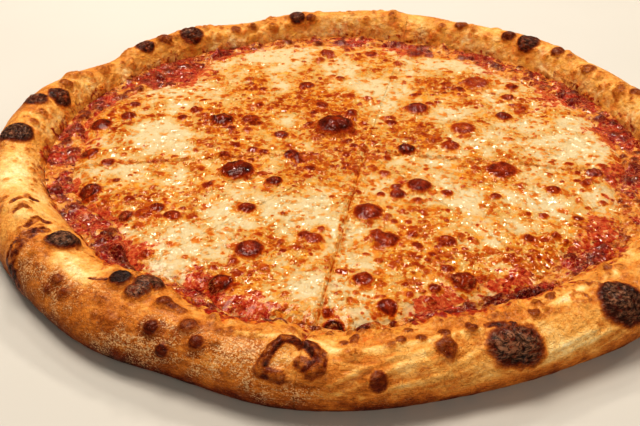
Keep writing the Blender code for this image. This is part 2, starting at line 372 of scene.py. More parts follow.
def newGroup(name, inputs, outputs):
    tree = bpy.data.node_groups.new(name, "ShaderNodeTree")
    for label, value in inputs:
        socket = tree.interface.new_socket(name=label, in_out="INPUT", socket_type="NodeSocketFloat")
        socket.default_value = value
    for label, kind in outputs:
        tree.interface.new_socket(name=label, in_out="OUTPUT", socket_type=kind)
    return tree, addNode(tree, "NodeGroupInput"), addNode(tree, "NodeGroupOutput")


def squeezedPlace(tree, squeeze):
    # The place on the piece with its height multiplied, so that a pattern is flattened by it
    place = addNode(tree, "ShaderNodeTexCoord").outputs["Object"]
    factors = addNode(tree, "ShaderNodeCombineXYZ", {"X": 1.0, "Y": 1.0, "Z": squeeze}).outputs[0]
    return addNode(tree, "ShaderNodeVectorMath", {0: place, 1: factors},
                   operation="MULTIPLY").outputs[0]


def makeUnevenGroup():
    # Noise between 0 and 1 with features of a size in metres
    tree, inside, out = newGroup("uneven", (("Size", 0.003), ("Detail", 3.0), ("Squeeze", 1.0)),
                                 (("Value", "NodeSocketFloat"),))
    place = squeezedPlace(tree, inside.outputs["Squeeze"])
    scale = addMath(tree, "DIVIDE", 1.0, inside.outputs["Size"])
    grain = addNode(tree, "ShaderNodeTexNoise",
                    {"Vector": place, "Scale": scale, "Detail": inside.outputs["Detail"]})
    stretched = addNode(tree, "ShaderNodeMapRange",
                        {"Value": grain.outputs["Fac"], "From Min": 0.28, "From Max": 0.72})
    tree.links.new(stretched.outputs[0], out.inputs[0])
    return tree


def makeSpecksGroup(uneven):
    # Small separate specks: a mask that is 1 where fine noise passes a level
    tree, inside, out = newGroup("specks", (("Size", 0.001), ("Level", 0.65), ("Softness", 0.08)),
                                 (("Mask", "NodeSocketFloat"),))
    grain = addGroup(tree, uneven, {"Size": inside.outputs["Size"], "Detail": 1.5})
    top = plus(tree, inside.outputs["Level"], inside.outputs["Softness"])
    tree.links.new(addStep(tree, grain[0], inside.outputs["Level"], top), out.inputs[0])
    return tree


def makeReliefGroup(uneven):
    # Bump from a coarse and a fine noise and a height of the material's own, all in metres
    tree, inside, out = newGroup(
        "fine_relief",
        (("Coarse Size", 0.003), ("Coarse Height", 0.0003), ("Fine Size", 0.0008),
         ("Fine Height", 0.0001), ("Own Height", 0.0)),
        (("Normal", "NodeSocketVector"),))
    total = inside.outputs["Own Height"]
    for label in ("Coarse", "Fine"):
        grain = addGroup(tree, uneven, {"Size": inside.outputs[f"{label} Size"], "Detail": 2.0})
        height = times(tree, grain[0], inside.outputs[f"{label} Height"])
        total = plus(tree, total, height)
    bump = addNode(tree, "ShaderNodeBump", {"Height": total, "Strength": 1.0, "Distance": 1.0})
    tree.links.new(bump.outputs[0], out.inputs[0])
    return tree


def makeWrinklesGroup():
    # Thin winding lines: a mask that is 1 where warped noise passes its middle value
    tree, inside, out = newGroup(
        "wrinkles", (("Size", 0.003), ("Width", 0.05), ("Warp", 1.0), ("Squeeze", 1.0)),
        (("Mask", "NodeSocketFloat"),))
    place = squeezedPlace(tree, inside.outputs["Squeeze"])
    scale = addMath(tree, "DIVIDE", 1.0, inside.outputs["Size"])
    grain = addNode(tree, "ShaderNodeTexNoise",
                    {"Vector": place, "Scale": scale, "Detail": 3.0,
                     "Distortion": inside.outputs["Warp"]})
    away = addMath(tree, "ABSOLUTE", addMath(tree, "SUBTRACT", grain.outputs["Fac"], 0.5))
    tree.links.new(addStep(tree, away, inside.outputs["Width"], 0.0), out.inputs[0])
    return tree


def makeBlotsGroup():
    # Cells of a warped pattern: a low dome in each, and a round blot in a share of them
    tree, inside, out = newGroup("blots", (("Size", 0.004), ("Share", 0.5), ("Reach", 0.6)),
                                 (("Mask", "NodeSocketFloat"), ("Dome", "NodeSocketFloat")))
    place = addNode(tree, "ShaderNodeTexCoord").outputs["Object"]
    scale = addMath(tree, "DIVIDE", 1.0, inside.outputs["Size"])
    grain = addNode(tree, "ShaderNodeTexNoise",
                    {"Vector": place, "Scale": times(tree, scale, 1.4), "Detail": 2.0})
    centred = addNode(tree, "ShaderNodeVectorMath", {0: grain.outputs["Color"], 1: (0.5, 0.5, 0.5)},
                      operation="SUBTRACT").outputs[0]
    bent = addNode(tree, "ShaderNodeVectorMath",
                   {0: centred, "Scale": times(tree, inside.outputs["Size"], 1.5)},
                   operation="SCALE").outputs[0]
    warped = addNode(tree, "ShaderNodeVectorMath", {0: place, 1: bent}, operation="ADD").outputs[0]
    cells = addNode(tree, "ShaderNodeTexVoronoi", {"Vector": warped, "Scale": scale})
    away = addMath(tree, "DIVIDE", cells.outputs["Distance"], inside.outputs["Reach"])
    dome = addMath(tree, "SUBTRACT", 1.0, addMath(tree, "POWER", away, 2.0))
    dome = addMath(tree, "MAXIMUM", dome, 0.0)
    random = addNode(tree, "ShaderNodeSeparateColor", {0: cells.outputs["Color"]}).outputs[0]
    chosen = addNode(tree, "ShaderNodeMapRange",
                     {"Value": plus(tree, random, inside.outputs["Share"]),
                      "From Min": 0.96, "From Max": 1.12}).outputs[0]
    mask = addStep(tree, dome, 0.0, 1.0)
    tree.links.new(times(tree, mask, chosen), out.inputs[0])
    tree.links.new(dome, out.inputs[1])
    return tree


unevenGroup = makeUnevenGroup()
specksGroup = makeSpecksGroup(unevenGroup)
reliefGroup = makeReliefGroup(unevenGroup)
wrinklesGroup = makeWrinklesGroup()
blotsGroup = makeBlotsGroup()


def addUneven(tree, size, detail=3.0, squeeze=1.0):
    return addGroup(tree, unevenGroup, {"Size": size, "Detail": detail, "Squeeze": squeeze})[0]


def addSpecks(tree, size, level, softness=0.1):
    return addGroup(tree, specksGroup, {"Size": size, "Level": level, "Softness": softness})[0]


def addWrinkles(tree, size, width, warp=1.0, squeeze=1.0):
    sockets = {"Size": size, "Width": width, "Warp": warp, "Squeeze": squeeze}
    return addGroup(tree, wrinklesGroup, sockets)[0]


def addBlots(tree, size, share, reach=0.72):
    # The blots' mask and the domes
    made = addGroup(tree, blotsGroup, {"Size": size, "Share": share, "Reach": reach})
    return made[0], made[1]


def addRelief(tree, coarseSize, coarseHeight, fineSize, fineHeight, ownHeight=0.0):
    sockets = {"Coarse Size": coarseSize, "Coarse Height": coarseHeight, "Fine Size": fineSize,
               "Fine Height": fineHeight, "Own Height": ownHeight}
    return addGroup(tree, reliefGroup, sockets)[0]


def newMaterial(name):
    material = bpy.data.materials.new(name)
    material.use_nodes = True
    tree = material.node_tree
    return material, tree, tree.nodes["Principled BSDF"]


def wobble(tree, value, size, amount, detail=3.0, squeeze=1.0):
    # A value with noise of this size and amount added, centred on nothing
    grain = addMath(tree, "SUBTRACT", addUneven(tree, size, detail, squeeze), 0.5)
    return plus(tree, value, times(tree, grain, amount))


def addBrowning(tree, colour, brown, busy):
    # Browned blots, stains and lines over a colour. Gives the colour, how brown it is, its relief,
    # and the mask of the small blots.
    large, _ = addBlots(tree, 6.0 * mm, scaled(tree, busy, 0.44, 0.17))
    small, _ = addBlots(tree, 3.3 * mm, scaled(tree, busy, 0.40, 0.25))
    tiny, froth = addBlots(tree, 1.9 * mm, scaled(tree, busy, 0.32, 0.16))
    drift = times(tree, busy, 0.30)
    stains = addStep(tree, plus(tree, addUneven(tree, 4.6 * mm, 4.0), drift), 0.60, 1.02)
    patches = addStep(tree, plus(tree, addUneven(tree, 6 * mm), drift), 0.40, 0.85)
    lines = times(tree, addWrinkles(tree, 5.5 * mm, 0.030, 1.3), patches)
    strong = scaled(tree, busy, 0.42, 0.50)
    blots = 0.0
    strengths = ((large, 0.62), (small, 0.52), (tiny, 0.30), (stains, 0.42), (lines, 0.30))
    for mask, strength in strengths:
        blots = addMath(tree, "MAXIMUM", blots, times(tree, mask, strength))
    brown = addMath(tree, "MAXIMUM", brown, times(tree, blots, strong))
    tint = addRamp(tree, brown, (
        (0.00, (234, 182, 90)),
        (0.20, (228, 156, 58)),
        (0.36, (203, 110, 34)),
        (0.52, (170, 66, 17)),
        (0.68, (134, 44, 13)),
        (0.84, (96, 31, 12)),
        (1.00, (48, 19, 9)),
    ))
    colour = addMix(tree, addStep(tree, brown, 0.02, 0.36), colour, tint)
    raised = times(tree, plus(tree, large, small), 0.60 * mm)
    rough = scaled(tree, busy, 0.46 * mm, 0.08 * mm)
    raised = plus(tree, raised, times(tree, froth, rough))
    raised = addMath(tree, "SUBTRACT", raised, times(tree, lines, 0.12 * mm))
    # Cream beads on the tops of the froth: partly the cheese's own pale colour, partly painted
    # highlights
    tops = addStep(tree, froth, 0.60, 0.90)
    tops = addMath(tree, "SUBTRACT", tops, addStep(tree, brown, 0.2, 0.6))
    beadsAndHighlights = times(tree, addSpecks(tree, 3.0 * mm, 0.34, 0.3), busy)
    beadsAndHighlights = times(tree, beadsAndHighlights, addMath(tree, "MAXIMUM", tops, 0.0))
    colour = tinted(tree, beadsAndHighlights, 0.80, colour, linear(246, 212, 150))
    return colour, brown, raised, small


def makeDoughMaterial():
    material, tree, shader = newMaterial("baked_dough")
    # This field is browning with painted light and shade worked into it
    browningAndLight = wobble(tree, addField(tree, "browningAndLight"), 4.5 * mm, 0.08, 3.0, 2.0)
    browningAndLight = wobble(tree, browningAndLight, 2.2 * mm, 0.10, 3.0, 3.0)
    browningAndLight = wobble(tree, browningAndLight, 0.8 * mm, 0.09, 3.0, 2.2)
    colour = addRamp(tree, browningAndLight, (
        (0.00, (253, 234, 190)),
        (0.14, (249, 209, 144)),
        (0.28, (237, 176, 98)),
        (0.42, (210, 132, 56)),
        (0.56, (158, 86, 30)),
        (0.70, (112, 42, 14)),
        (0.84, (60, 26, 13)),
        (1.00, (31, 17, 12)),
    ))
    oil = addStep(tree, wobble(tree, addField(tree, "oil"), 3.6 * mm, 1.1, 4.0), 0.20, 1.10)
    amber = addMix(tree, addUneven(tree, 6 * mm, 4.0), linear(220, 108, 34), linear(250, 192, 92))
    burnt = scaled(tree, browningAndLight, 1.4, -0.60)
    busy = times(tree, oil, 0.22)
    bubbly, _, raised, _ = addBrowning(tree, amber, burnt, busy)
    colour = tinted(tree, oil, 0.80, colour, bubbly)
    stain = addStep(tree, wobble(tree, addField(tree, "stain"), 2.6 * mm, 1.0, 4.0), 0.30, 0.90)
    red = addMix(tree, addUneven(tree, 2.4 * mm), linear(130, 16, 6), linear(186, 56, 20))
    film = addStep(tree, addUneven(tree, 3.6 * mm, 4.0), 0.58, 0.82)
    red = addMix(tree, film, red, linear(230, 132, 48))
    colour = addMix(tree, stain, colour, red)
    flour = addField(tree, "flour")
    lift = times(tree, flour, 0.32)
    dusting = ((3.2, 0.74, 1.20, 0.24), (1.3, 0.84, 1.10, 0.55), (0.8, 0.86, 1.06, 0.66))
    for size, low, high, share in dusting:              # a haze, then grains of two sizes
        grains = plus(tree, addUneven(tree, size * mm, 4.0, 1.7), lift)
        grains = times(tree, addStep(tree, grains, low, high), flour)
        colour = tinted(tree, grains, share, colour, linear(244, 208, 160))
    # Grey over charred tops: partly ash, partly a painted highlight
    charred = addField(tree, "ashAndHighlight")
    ashAndHighlight = addStep(tree, wobble(tree, charred, 2.4 * mm, 1.0, 4.0, 3.4), 0.05, 0.95)
    colour = tinted(tree, ashAndHighlight, 0.74, colour, linear(166, 120, 92))
    folds = addWrinkles(tree, 4.2 * mm, 0.06, 0.8, 3.4)
    folds = times(tree, folds, addStep(tree, charred, 0.0, 0.5))
    colour = tinted(tree, folds, 0.75, colour, linear(34, 16, 9))
    glossy = times(tree, addField(tree, "gloss"), -0.36)
    creases = times(tree, addWrinkles(tree, 6.0 * mm, 0.035, 1.0, 2.4), -0.20 * mm)
    creases = scaled(tree, folds, -0.30 * mm, creases)
    creases = plus(tree, creases, times(tree, raised, oil))
    fill(tree, shader, {
        "Base Color": colour,
        "Roughness": wobble(tree, plus(tree, glossy, 0.62), 2 * mm, 0.14),
        "Normal": addRelief(tree, 2.4 * mm, 0.36 * mm, 0.8 * mm, 0.16 * mm, creases),
        "Specular IOR Level": 0.10,
        "Coat Weight": 0.10,
        "Coat Roughness": 0.22,
    })
    return material


def makeCrumbMaterial():
    material, tree, shader = newMaterial("bread_crumb")
    # Pores darkened as painted shade inside them
    shadedPores = addSpecks(tree, 2.2 * mm, 0.55, 0.2)
    colour = addMix(tree, addUneven(tree, 6 * mm), linear(244, 216, 166), linear(228, 184, 120))
    colour = tinted(tree, shadedPores, 0.5, colour, linear(176, 118, 62))
    fill(tree, shader, {
        "Base Color": colour,
        "Roughness": wobble(tree, plus(tree, shadedPores, 0.7), 2 * mm, 0.1),
        "Normal": addRelief(tree, 2.2 * mm, 0.5 * mm, 0.8 * mm, 0.15 * mm),
    })
    return material


def makeCheeseMaterial():
    material, tree, shader = newMaterial("melted_cheese")
    busy = addField(tree, "busy")
    colour = addMix(tree, addUneven(tree, 7 * mm, 4.0), linear(216, 183, 132), linear(210, 158, 80))
    pale = times(tree, addField(tree, "pale"), 0.85)
    colour = addMix(tree, pale, colour, linear(218, 200, 163))
    oil = addStep(tree, wobble(tree, addField(tree, "oil"), 4.4 * mm, 1.2, 4.0), 0.30, 1.05)
    amber = addMix(tree, addUneven(tree, 4 * mm), linear(220, 120, 22), linear(236, 168, 56))
    colour = tinted(tree, oil, 0.85, colour, amber)
    thin = addField(tree, "thin")
    veil = addStep(tree, wobble(tree, thin, 3.0 * mm, 0.6), 0.10, 0.70)
    colour = tinted(tree, veil, 0.6, colour, linear(230, 168, 118))
    fainter = scaled(tree, busy, 0.25, 0.75)
    brown = times(tree, addField(tree, "brown"), fainter)
    brown = wobble(tree, brown, 1.8 * mm, 0.16)
    colour, brown, raised, small = addBrowning(tree, colour, brown, busy)
    bare = addStep(tree, wobble(tree, thin, 3.0 * mm, 1.3, 4.0), 0.50, 0.84)
    bare = times(tree, bare, addStep(tree, brown, 0.72, 0.56))
    red = wobble(tree, scaled(tree, small, 0.4, 0.2), 2.2 * mm, 0.5)
    red = addRamp(tree, red, (
        (0.0, (208, 104, 62)),
        (0.4, (174, 52, 32)),
        (0.8, (122, 16, 12)),
        (1.0, (88, 8, 6)),
    ))
    colour = addMix(tree, bare, colour, red)
    strings = times(tree, addWrinkles(tree, 3.8 * mm, 0.045, 1.4), veil)
    colour = tinted(tree, strings, 0.42, colour, linear(236, 172, 104))
    fill(tree, shader, {
        "Base Color": colour,
        "Roughness": wobble(tree, scaled(tree, oil, -0.10, 0.30), 3 * mm, 0.16),
        "Normal": addRelief(tree, 2.4 * mm, 0.34 * mm, 0.9 * mm, 0.08 * mm, raised),
        "Specular IOR Level": 0.03,
        "Coat Weight": 0.32,
        "Coat Roughness": 0.08,
    })
    return material


def makeSauceMaterial():
    material, tree, shader = newMaterial("tomato_sauce")
    tone = wobble(tree, addField(tree, "tone"), 3.4 * mm, 0.55)
    tone = wobble(tree, tone, 1.0 * mm, 0.40)
    colour = addRamp(tree, tone, (
        (0.00, (84, 3, 3)),
        (0.30, (126, 14, 8)),
        (0.55, (164, 38, 22)),
        (0.80, (192, 68, 36)),
        (1.00, (220, 116, 56)),
    ))
    film = addStep(tree, wobble(tree, addField(tree, "film"), 2.2 * mm, 1.0, 4.0), 0.30, 0.80)
    cream = addMix(tree, addUneven(tree, 4 * mm), linear(226, 132, 42), linear(238, 192, 112))
    blisters = addField(tree, "burnt")
    cream, _, raised, _ = addBrowning(tree, cream, times(tree, blisters, 0.7),
                                      times(tree, film, 0.75))
    colour = tinted(tree, film, 0.94, colour, cream)
    strings = times(tree, addWrinkles(tree, 4.2 * mm, 0.05, 1.4), 0.6)
    colour = addMix(tree, strings, colour, linear(230, 158, 104))
    # Light specks in the sauce: painted glints
    specks = times(tree, addSpecks(tree, 0.8 * mm, 0.72, 0.15), 0.45)
    colour = addMix(tree, specks, colour, linear(236, 160, 110))
    grain = scaled(tree, addUneven(tree, 2 * mm), 0.6, 0.4)
    burnt = times(tree, blisters, grain)
    colour = addMix(tree, burnt, colour, linear(74, 14, 6))
    fill(tree, shader, {
        "Base Color": colour,
        "Roughness": wobble(tree, scaled(tree, film, 0.10, 0.28), 2.5 * mm, 0.16),
        "Normal": addRelief(tree, 1.7 * mm, 0.34 * mm, 0.65 * mm, 0.12 * mm, raised),
        "Specular IOR Level": 0.08,
        "Coat Weight": 0.30,
        "Coat Roughness": 0.10,
    })
    return material


doughMaterial = makeDoughMaterial()
crumbMaterial = makeCrumbMaterial()
cheeseMaterial = makeCheeseMaterial()
sauceMaterial = makeSauceMaterial()
print("materials made")


def islandUv(flat, rectangle):
    # Flat coordinates fitted into a rectangle (left, bottom, width, height) of the texture
    low, size = flat.min(0), np.ptp(flat, axis=0)
    scale = min(rectangle[2] / size[0], rectangle[3] / size[1])
    return np.array(rectangle[:2]) + (flat - low) * scale


def makePiece(name, node, points, parts, fields):
    # parts: for each kind of face its faces, material, shading and unrolled coordinates of all points
    faces, kinds = [], []
    for number, part in enumerate(parts):
        faces += part["faces"]
        kinds += [number] * len(part["faces"])
    mesh = bpy.data.meshes.new(name)
    mesh.from_pydata((points + frameShift).tolist(), [], faces)
    materials = []
    for part in parts:
        if part["material"] not in materials:
            materials.append(part["material"])
            mesh.materials.append(part["material"])
    slots = [materials.index(parts[kind]["material"]) for kind in kinds]
    mesh.polygons.foreach_set("material_index", slots)
    mesh.polygons.foreach_set("use_smooth", [parts[kind]["smooth"] for kind in kinds])
    for label, values in fields.items():
        layer = mesh.attributes.new(label, "FLOAT", "POINT")
        layer.data.foreach_set("value", np.ascontiguousarray(values, np.float32))
    corners = np.empty(len(mesh.loops), np.int32)
    mesh.loops.foreach_get("vertex_index", corners)
    sizes = np.empty(len(mesh.polygons), np.int32)
    mesh.polygons.foreach_get("loop_total", sizes)
    cornerKinds = np.repeat(kinds, sizes)
    uv = np.empty((len(corners), 2), np.float32)
    for number, part in enumerate(parts):
        mine = cornerKinds == number
        uv[mine] = islandUv(part["flat"][corners[mine]], part["rectangle"])
    layer = mesh.uv_layers.new(name="OFBake")
    layer.data.foreach_set("uv", uv.ravel())
    mesh.update()
    piece = bpy.data.objects.new(name, mesh)
    bpy.context.scene.collection.objects.link(piece)
    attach(piece, "root")
    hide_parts(node)
    return piece


def raiseTo(values, index, least):
    values[index] = np.maximum(values[index], least)


def padded(values, count):
    # Field values for points added to a grid
    return np.concatenate((values, np.zeros(count)))


# Blisters on the rim: azimuth, section angle, radius and height in millimetres, char (0 to 1.2)
rimBlisters = np.array((
    (218.5, 45, 10, 1.8, 0.00), (221.4, 112, 9.4, 5.8, 1.05), (236.0, 94, 5.4, 3.9, 1.12),
    (239.5, 112, 8, 4.2, 0.96), (239.8, 92, 6.6, 2.0, 0.88), (245.5, 60, 4.2, 1.5, 0.90),
    (244.2, 101, 4.0, 1.2, 0.80), (245.9, 103, 3.6, 1.1, 0.80), (247.5, 104, 3.2, 0.9, 0.72),
    (250.0, 87, 5, 1.1, 0.78), (252.0, 61, 3.8, 1.3, 0.86),
    (248.0, 32, 3.4, 1.2, 0.92), (228.4, 62, 3.2, 0.9, 0.76), (228.2, 42, 2.4, 0.6, 0.78),
    (230.8, 50, 2.9, 0.8, 0.78), (264.0, 70, 13, 2.2, 0.00), (274.2, 38, 5, 1.2, 0.82),
    (283.0, 64, 5.5, 1.6, 0.78), (277.5, 94, 3.0, 0.9, 0.73), (280.2, 89, 3.0, 0.9, 0.75),
    (283.5, 85, 3.2, 0.9, 0.76), (287.2, 83, 3.6, 0.9, 0.80),
    (254.2, 90, 2.4, 0.7, 0.66), (255.4, 95, 2.6, 0.7, 0.70), (256.8, 92, 2.2, 0.6, 0.62),
    (309.0, 60, 13.5, 3.4, 1.00), (207.4, 90, 9, 2.0, 0.00), (211.2, 98, 8, 1.8, 0.00),
    (301.2, 105, 2.8, 0.7, 0.72),
    (298.5, 102, 2.8, 0.7, 0.72), (333.0, 75, 10, 2.2, 0.35), (352.0, 95, 9, 2.0, 0.45),
    (17.8, 84, 5.5, 1.6, 0.75), (20.5, 113, 5, 1.2, 0.66), (21.8, 91, 4, 1.2, 0.60),
    (30.8, 104, 5.5, 1.3, 0.70), (37.0, 96, 4, 1.0, 0.70), (40.2, 100, 5.5, 1.5, 0.80),
    (47.5, 110, 9.5, 3.2, 1.00), (52.5, 106, 6, 1.4, 0.85), (64.0, 102, 5.5, 1.3, 0.75),
    (68.2, 114, 4.5, 1.0, 0.70), (80.2, 105, 4, 1.0, 0.70), (86.0, 122, 4, 0.9, 0.60),
    (99.0, 113, 4.5, 1.2, 0.80), (102.2, 108, 7, 2.2, 0.95), (108.2, 121, 4.5, 1.0, 0.70),
    (113.0, 111, 4.5, 1.0, 0.70), (117.2, 112, 4.5, 1.1, 0.72), (127.8, 109, 10, 2.4, 0.95),
    (134.2, 103, 6.5, 1.6, 0.75), (139.2, 94, 8, 2.2, 0.95), (143.8, 75, 4.5, 1.0, 0.60),
    (152.2, 104, 4.5, 1.1, 0.64), (156.5, 110, 4.5, 1.1, 0.64), (159.0, 80, 6, 1.5, 0.55),
    (163.2, 108, 5, 1.1, 0.66), (167.2, 121, 9, 2.6, 0.98), (171.2, 86, 9, 1.8, 0.95),
    (174.8, 116, 4.5, 1.0, 0.70), (178.8, 113, 4.5, 1.0, 0.70), (183.5, 91, 12, 2.8, 1.05),
    (242.2, -5, 5, 0.4, 0.60), (270.8, 8, 2.6, 0.4, 0.60), (256.5, 31, 2.2, 0.4, 0.55),
), float)

# Lines on the rim: places (azimuth, section angle), half width and height in millimetres, char.
# A crease or crack has a height below zero; its char darkens it, partly as browning, partly as painted
# shade in the crease.
rimLines = (
    (((217.0, 84), (218.0, 64), (218.6, 46), (219.2, 29), (220.4, 10), (222, -9)), 5.2, 0.9, 0.96),
    (((217.2, 104), (216.8, 94), (217.0, 82)), 3.0, 0.7, 0.76),    # the charred crescent
    (((290.7, 51), (292.9, 48)), 10.0, 3.4, 1.00),                  # the char on the right front
    (((289.6, 83), (292.8, 76)), 2.0, 0.9, 0.90),
    (((303.4, 86), (303.8, 95), (304.8, 97), (305.6, 90), (305.4, 80), (304.4, 77), (303.4, 86)),
     1.1, 0.6, 0.62),
    (((216.6, 106), (216.0, 90), (216.4, 70), (217.2, 50), (218.2, 34)), 0.9, -1.4, 0.95),
    (((207.0, 84), (206.2, 93), (205.4, 104), (205.8, 118)), 2.2, -1.3, 0.78),
    (((209.6, 82), (209.2, 94), (209.8, 102)), 1.8, -1.1, 0.66),
    (((214.6, 90), (213.8, 100), (213.6, 108), (214.6, 114)), 2.0, -1.4, 0.82),
    (((232.2, 82), (234.6, 92)), 1.0, -0.8, 0.85),
    (((263.0, 38), (261.6, 40), (260.6, 42), (260.7, 50), (261.2, 64), (261.8, 76), (262.6, 86),
      (263.8, 91), (264.5, 92)), 2.9, 2.3, 0.83),
    (((265.3, 93), (266.0, 91), (267.0, 82), (267.5, 69), (267.4, 57), (266.7, 52)), 3.4, 2.4, 0.84),
    (((266.8, 53), (266.0, 59), (265.2, 63)), 3.2, 1.6, 0.82),    # the two arcs of the front ring
    (((263.9, 76), (264.1, 72)), 1.0, 0.2, 0.50),
)

# The notch where the front cut meets the rim, darkened as painted shade, and lighter lines: painted
# highlights along the crest, and paler ridges where the skin is stretched
notchPath = ((264.9, 118), (264.9, 104), (265.0, 93), (264.7, 84))
paleAndHighlightLines = (
    (((224.6, 94), (228.2, 90), (232.0, 80)), 4.2, 0.5, 0.27),
    (((256.4, 90), (259.6, 90), (262.2, 94), (264.0, 99)), 1.9, 0.9, 0.24),
    (((265.8, 101), (267.6, 97), (268.8, 92), (272.2, 91), (274.8, 92), (277.4, 87), (280.6, 82),
      (284.2, 80), (288.2, 78)), 2.2, 0.9, 0.24),
    (((300.0, 90), (304.0, 98), (308.0, 101), (313.0, 100)), 2.4, 0.8, 0.24),
    (((292.0, 23), (295.0, 27), (299.0, 33), (303.4, 39)), 1.2, 0.9, 0.14),
    (((293.0, 14), (297.0, 20), (302.0, 27), (307.0, 30)), 1.2, 0.8, 0.12),
    (((268.6, 33), (272.0, 56), (276.4, 70), (281.0, 66)), 1.2, 0.8, 0.10),
    (((269.8, 20), (273.4, 41), (276.8, 55), (282.0, 54)), 1.2, 0.8, 0.10),
    (((271.0, 6), (276.6, 27), (282.8, 32)), 1.2, 0.7, 0.08),
)

# Where the sauce and its oil begin on the inner slope: azimuth, section angle
climbLine = np.array((
    (20, 146), (100, 145), (178, 144), (196, 143), (206, 147), (215, 145), (222, 150), (229, 122),
    (236, 112), (239, 130), (243, 136), (247, 134), (250, 120), (253, 109), (257, 105), (262, 111),
    (265, 108), (267, 120), (270, 114), (275, 109), (280, 112), (285, 102), (288, 102), (292, 98),
    (296, 102), (303, 116), (309, 107), (312, 106), (316, 112), (326, 134), (340, 144),
), float)

crustForm = dict(columns=1640, rows=84, lumps=0.45 * mm, dimples=0.22 * mm, grain=0.07 * mm,
                 bulges=2.0 * mm, stretchMarks=0.55 * mm, pinchWidth=6.0 * mm, pinch=0.9,
                 frontPinch=2.2, smallBlisters=680, boxMargin=0.05 * mm,
                 unrollRadius=190.0 * mm, undersideBake=0.45)


def sectionAngles(count):
    # Section angles that lie evenly along the rim's outline
    fine = np.linspace(-tuckAngle, 180, 721)
    outline = rimPoint(210.0, fine)
    length = np.concatenate(([0], np.cumsum(np.linalg.norm(np.diff(outline, axis=0), axis=1))))
    return np.interp(np.linspace(0, length[-1], count), length, fine), length[-1]


def crustGrids():
    # For each slice, azimuth and section angle of its grid of points, column by column. Also the
    # length of the rim's section.
    angles, length = sectionAngles(crustForm["rows"])
    grids = []
    for number in range(8):
        tip, start, end = sliceFrame(number)
        columns = round(crustForm["columns"] * (end - start) / 360)
        rays = np.linspace(start, end, columns + 1)[:, None] + 0 * angles
        allAngles = angles + 0 * rays
        _, azimuth = reachOnRays(tip, rays, lambda place: sectionAt(place, allAngles)[0])
        grids.append((azimuth, allAngles))
    return grids, length


def outwardAt(azimuth, angle):
    # The plain rim's outward direction
    angle = np.clip(angle, -52, 172)
    roundSection = rimPoint(azimuth, angle + 4) - rimPoint(azimuth, angle - 4)
    roundPizza = rimPoint(azimuth + 1, angle) - rimPoint(azimuth - 1, angle)
    outward = np.cross(roundPizza, roundSection)
    return outward / np.linalg.norm(outward, axis=-1, keepdims=True)


def scatteredBlisters(random):
    # Small blisters, mostly on the crest and the inner slope
    count = crustForm["smallBlisters"]
    azimuth = random.uniform(0, 360, count)
    angle = np.clip(random.normal(112, 26, count), 20, 165)
    radius = random.uniform(1.0, 3.2, count) ** 1.15
    radius[turnBetween(azimuth, 228.5) < 6] *= 0.4
    climbing = 190                                      # the last ones follow the sauce's edge
    azimuth[-climbing:] = random.uniform(222, 336, climbing)
    line = np.interp(azimuth[-climbing:], climbLine[:, 0], climbLine[:, 1])
    angle[-climbing:] = line + random.normal(4, 11, climbing)
    burn = random.uniform(0.44, 0.66, count)
    burn[-climbing:] += 0.08
    return np.stack((azimuth, angle, radius, radius * random.uniform(0.12, 0.26, count), burn), -1)


def markLines(points, azimuth, lines, unevenness):
    # For each drawn line: the points near it, and their distance from it in half widths
    for number, (path, width, *_) in enumerate(lines):
        middle = np.mean([place[0] for place in path])
        index = np.flatnonzero(turnBetween(azimuth, middle) < 16)
        bent = 1 + unevenness[index] * (0.7 if width > 7 else 1)
        yield number, index, pathDistance(points[index], path) / (width * mm) * bent


